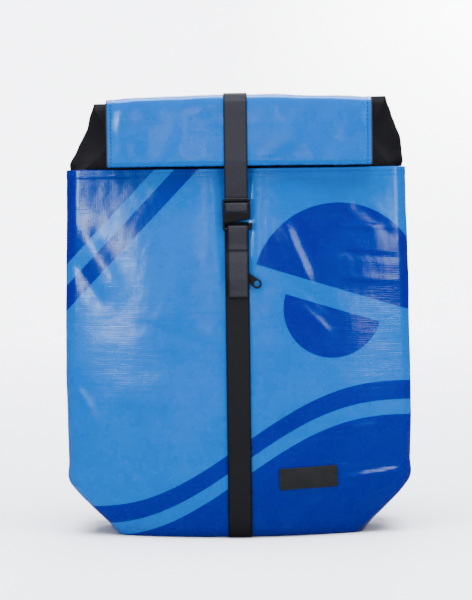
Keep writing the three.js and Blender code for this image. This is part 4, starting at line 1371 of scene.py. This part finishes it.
def make_pad(side, word, matrix):
    path = pad_path(side, matrix)
    across, outwards = pad_axes(path)
    turn = np.linspace(0, 2 * math.pi, 28, endpoint=False)
    round_x, round_y = (np.sign(v) * np.abs(v) ** PAD_SQUARE for v in (np.cos(turn), np.sin(turn)))
    rings, rim_left, rim_right = [], [], []
    for i, middle in enumerate(path):
        wide, thick = pad_sizes(i / (len(path) - 1))
        rings.append(middle + np.outer(round_x * wide / 2, across[i])
                     + np.outer(round_y * (thick - PAD_SWELL_ROOM) / 2, outwards[i]))
        rim_left.append(middle - across[i] * (wide / 2 + 0.2))
        rim_right.append(middle + across[i] * (wide / 2 + 0.2))
    pad = loft(f"shoulder_pad_{word}", rings, PAD_CLOTH)
    swell(pad, 3.4)
    rim = np.vstack([rim_left, rim_right[::-1]])
    binding = tube(f"pad_binding_{word}", even_points(np.vstack([rim, rim[:1]]), 240), 1.3, COLLAR_CLOTH)
    finish_piece(pad, "pad_cloth", f"shoulder_strap_{word}")
    finish_piece(binding, "pad_cloth")
    foot = LOCK_UPPER_SLOT + LOCK_SLOT / 2 - GAP - WEBBING / 2
    top = PAD_END + 6
    loop = hung_strap(f"pad_loop_{word}", matrix, rounded(
        [(2 * LOCK_LAYER, top), (2 * LOCK_LAYER, foot), (0, foot), (0, top)], 1.2))
    finish_piece(loop, "webbing", f"shoulder_strap_{word}")


def swell(made, most):
    """Blows a pad up with Cloth, no further than most millimetres from its plain shape."""
    remesh = made.modifiers.new("even", "REMESH")
    remesh.mode = "VOXEL"
    remesh.voxel_size = 0.0045
    apply_modifiers(made)
    start = np.array([v.co for v in made.data.vertices])
    cloth = made.modifiers.new("cloth", "CLOTH")
    cloth.settings.use_pressure = True
    cloth.settings.uniform_pressure_force = 4
    cloth.settings.effector_weights.gravity = 0
    cloth.settings.quality = 5
    scene = bpy.context.scene
    for step in range(1, 21):
        scene.frame_set(step)
    apply_modifiers(made)
    scene.frame_set(1)
    end = np.array([v.co for v in made.data.vertices])
    move = end - start
    move -= move.mean(axis=0)
    far = np.linalg.norm(move, axis=1, keepdims=True)
    end = start + move * np.minimum(1, most * MM / np.maximum(far, 1e-9))
    made.data.vertices.foreach_set("co", end.ravel())
    finer = made.modifiers.new("finer", "SUBSURF")
    finer.levels = finer.render_levels = 1
    apply_modifiers(made)
    made.data.polygons.foreach_set("use_smooth", [True] * len(made.data.polygons))


def apply_modifiers(made):
    bpy.context.view_layer.update()
    evaluated = made.evaluated_get(bpy.context.evaluated_depsgraph_get())
    mesh = bpy.data.meshes.new_from_object(evaluated)
    made.modifiers.clear()
    made.data = mesh


# Camera, light and stage

PAPER = (0.87, 0.875, 0.93)
SWEEP_START = 0.35
SWEEP_FLAT = 2.05
SWEEP_RADIUS = 0.75
SWEEP_HIGH = 2.2
SWEEP_HALF = 1.0
GLOW = 3.7
GLOW_FULL = 2.6
GLOW_CORNER = 5.0
GLOW_FADE = 0.25


# The camera, in metres: what it looks at, how far ahead and how high it stands, and its picture
LOOK_AT = Vector((-0.0016, -0.065, 0.2522))
CAMERA_AWAY = 1.9
CAMERA_HIGH = 0.40
CAMERA_ROLL = math.radians(-0.75)
PIXEL = 0.001041
PICTURE_HIGH = 600
SENSOR = 36
WORLD_COLOUR = (0.94, 0.96, 1.0, 1)
WORLD_STRENGTH = 0.20


def make_camera():
    """Almost square on, a little above the hem, and tipped slightly, as the photograph is."""
    data = bpy.data.cameras.new("camera")
    camera = bpy.data.objects.new("camera", data)
    bpy.context.scene.collection.objects.link(camera)
    camera.location = (LOOK_AT.x, LOOK_AT.y - CAMERA_AWAY, CAMERA_HIGH)
    reach = LOOK_AT - camera.location
    data.sensor_fit = "VERTICAL"
    data.sensor_height = SENSOR
    data.lens = SENSOR * reach.length / (PICTURE_HIGH * PIXEL)
    look = reach.to_track_quat("-Z", "Y").to_matrix().to_4x4()
    roll = Matrix.Rotation(CAMERA_ROLL, 4, "Z")
    camera.matrix_world = Matrix.Translation(camera.location) @ look @ roll
    bpy.context.scene.camera = camera


def area_light(name, location, target, size, power, colour=(1, 1, 1)):
    data = bpy.data.lights.new(name, "AREA")
    data.shape = "RECTANGLE"
    data.size, data.size_y = size
    data.energy = power
    data.color = colour
    made = bpy.data.objects.new(name, data)
    made.location = location
    made.rotation_euler = (Vector(target) - Vector(location)).to_track_quat("-Z", "Y").to_euler()
    bpy.context.scene.collection.objects.link(made)


def make_light():
    world = bpy.data.worlds.new("studio")
    bpy.context.scene.world = world
    world.use_nodes = True
    background = world.node_tree.nodes["Background"]
    background.inputs["Color"].default_value = WORLD_COLOUR
    background.inputs["Strength"].default_value = WORLD_STRENGTH
    area_light("left_strip", (-0.84, -1.40, 0.46), (-0.15, -0.05, 0.30), (0.26, 0.46), 12)
    area_light("right_box", (1.02, -1.35, 0.52), (0.14, -0.05, 0.30), (0.34, 0.60), 9)
    area_light("left_glint", (-0.20, -1.88, 0.52), (0, -0.05, 0.35), (0.07, 0.40), 1.3)
    area_light("right_glint", (0.16, -1.88, 0.54), (0, -0.05, 0.35), (0.035, 0.40), 0.9)
    area_light("top_box", (0, -0.32, 2.15), (0, -0.05, 0), (2.4, 1.7), 268, (0.93, 0.96, 1))
    area_light("back_box", (0.3, 2.0, 1.7), (0, 0.05, 0.25), (1.4, 0.8), 45)


def make_stage():
    """A wide pale floor, and a strip of the same paper that curves up far behind the bag."""
    wide = [(x / MM, y / MM, -0.3) for x, y in ((-9, -9), (9, -9), (9, 9), (-9, 9))]
    floor = new_object("stage_floor", wide, [(0, 1, 2, 3)], pale_paper("stage_paper", False))
    profile = [(y, 0.0) for y in np.linspace(SWEEP_START, SWEEP_FLAT, 10)]
    profile += [(SWEEP_FLAT + SWEEP_RADIUS * math.sin(t), SWEEP_RADIUS * (1 - math.cos(t)))
                for t in np.linspace(0.02, math.pi / 2, 40)]
    profile.append((SWEEP_FLAT + SWEEP_RADIUS, SWEEP_HIGH))
    vertices = [(x / MM, y / MM, z / MM - 0.2) for x in (-SWEEP_HALF, SWEEP_HALF) for y, z in profile]
    count = len(profile)
    faces = [(i, i + 1, count + i + 1, count + i) for i in range(count - 1)]
    backdrop = new_object("stage_backdrop", vertices, faces, pale_paper("stage_lit_paper", True))
    for made in (floor, backdrop):
        made.visible_glossy = False


make_camera()
make_light()
make_stage()
make_collar()
make_body()
make_flap()
make_upper_strap()
make_lower_strap()
make_loop()
make_buckle()
make_zip_tape()
make_slider()
make_pull()
make_patch()
make_yoke()
make_haul_loop()
for side, word in SIDES:
    hanging = hanging_frame(side)
    make_lower_webbing(side, word, hanging)
    make_lock(word, hanging)
    make_pad(side, word, hanging)
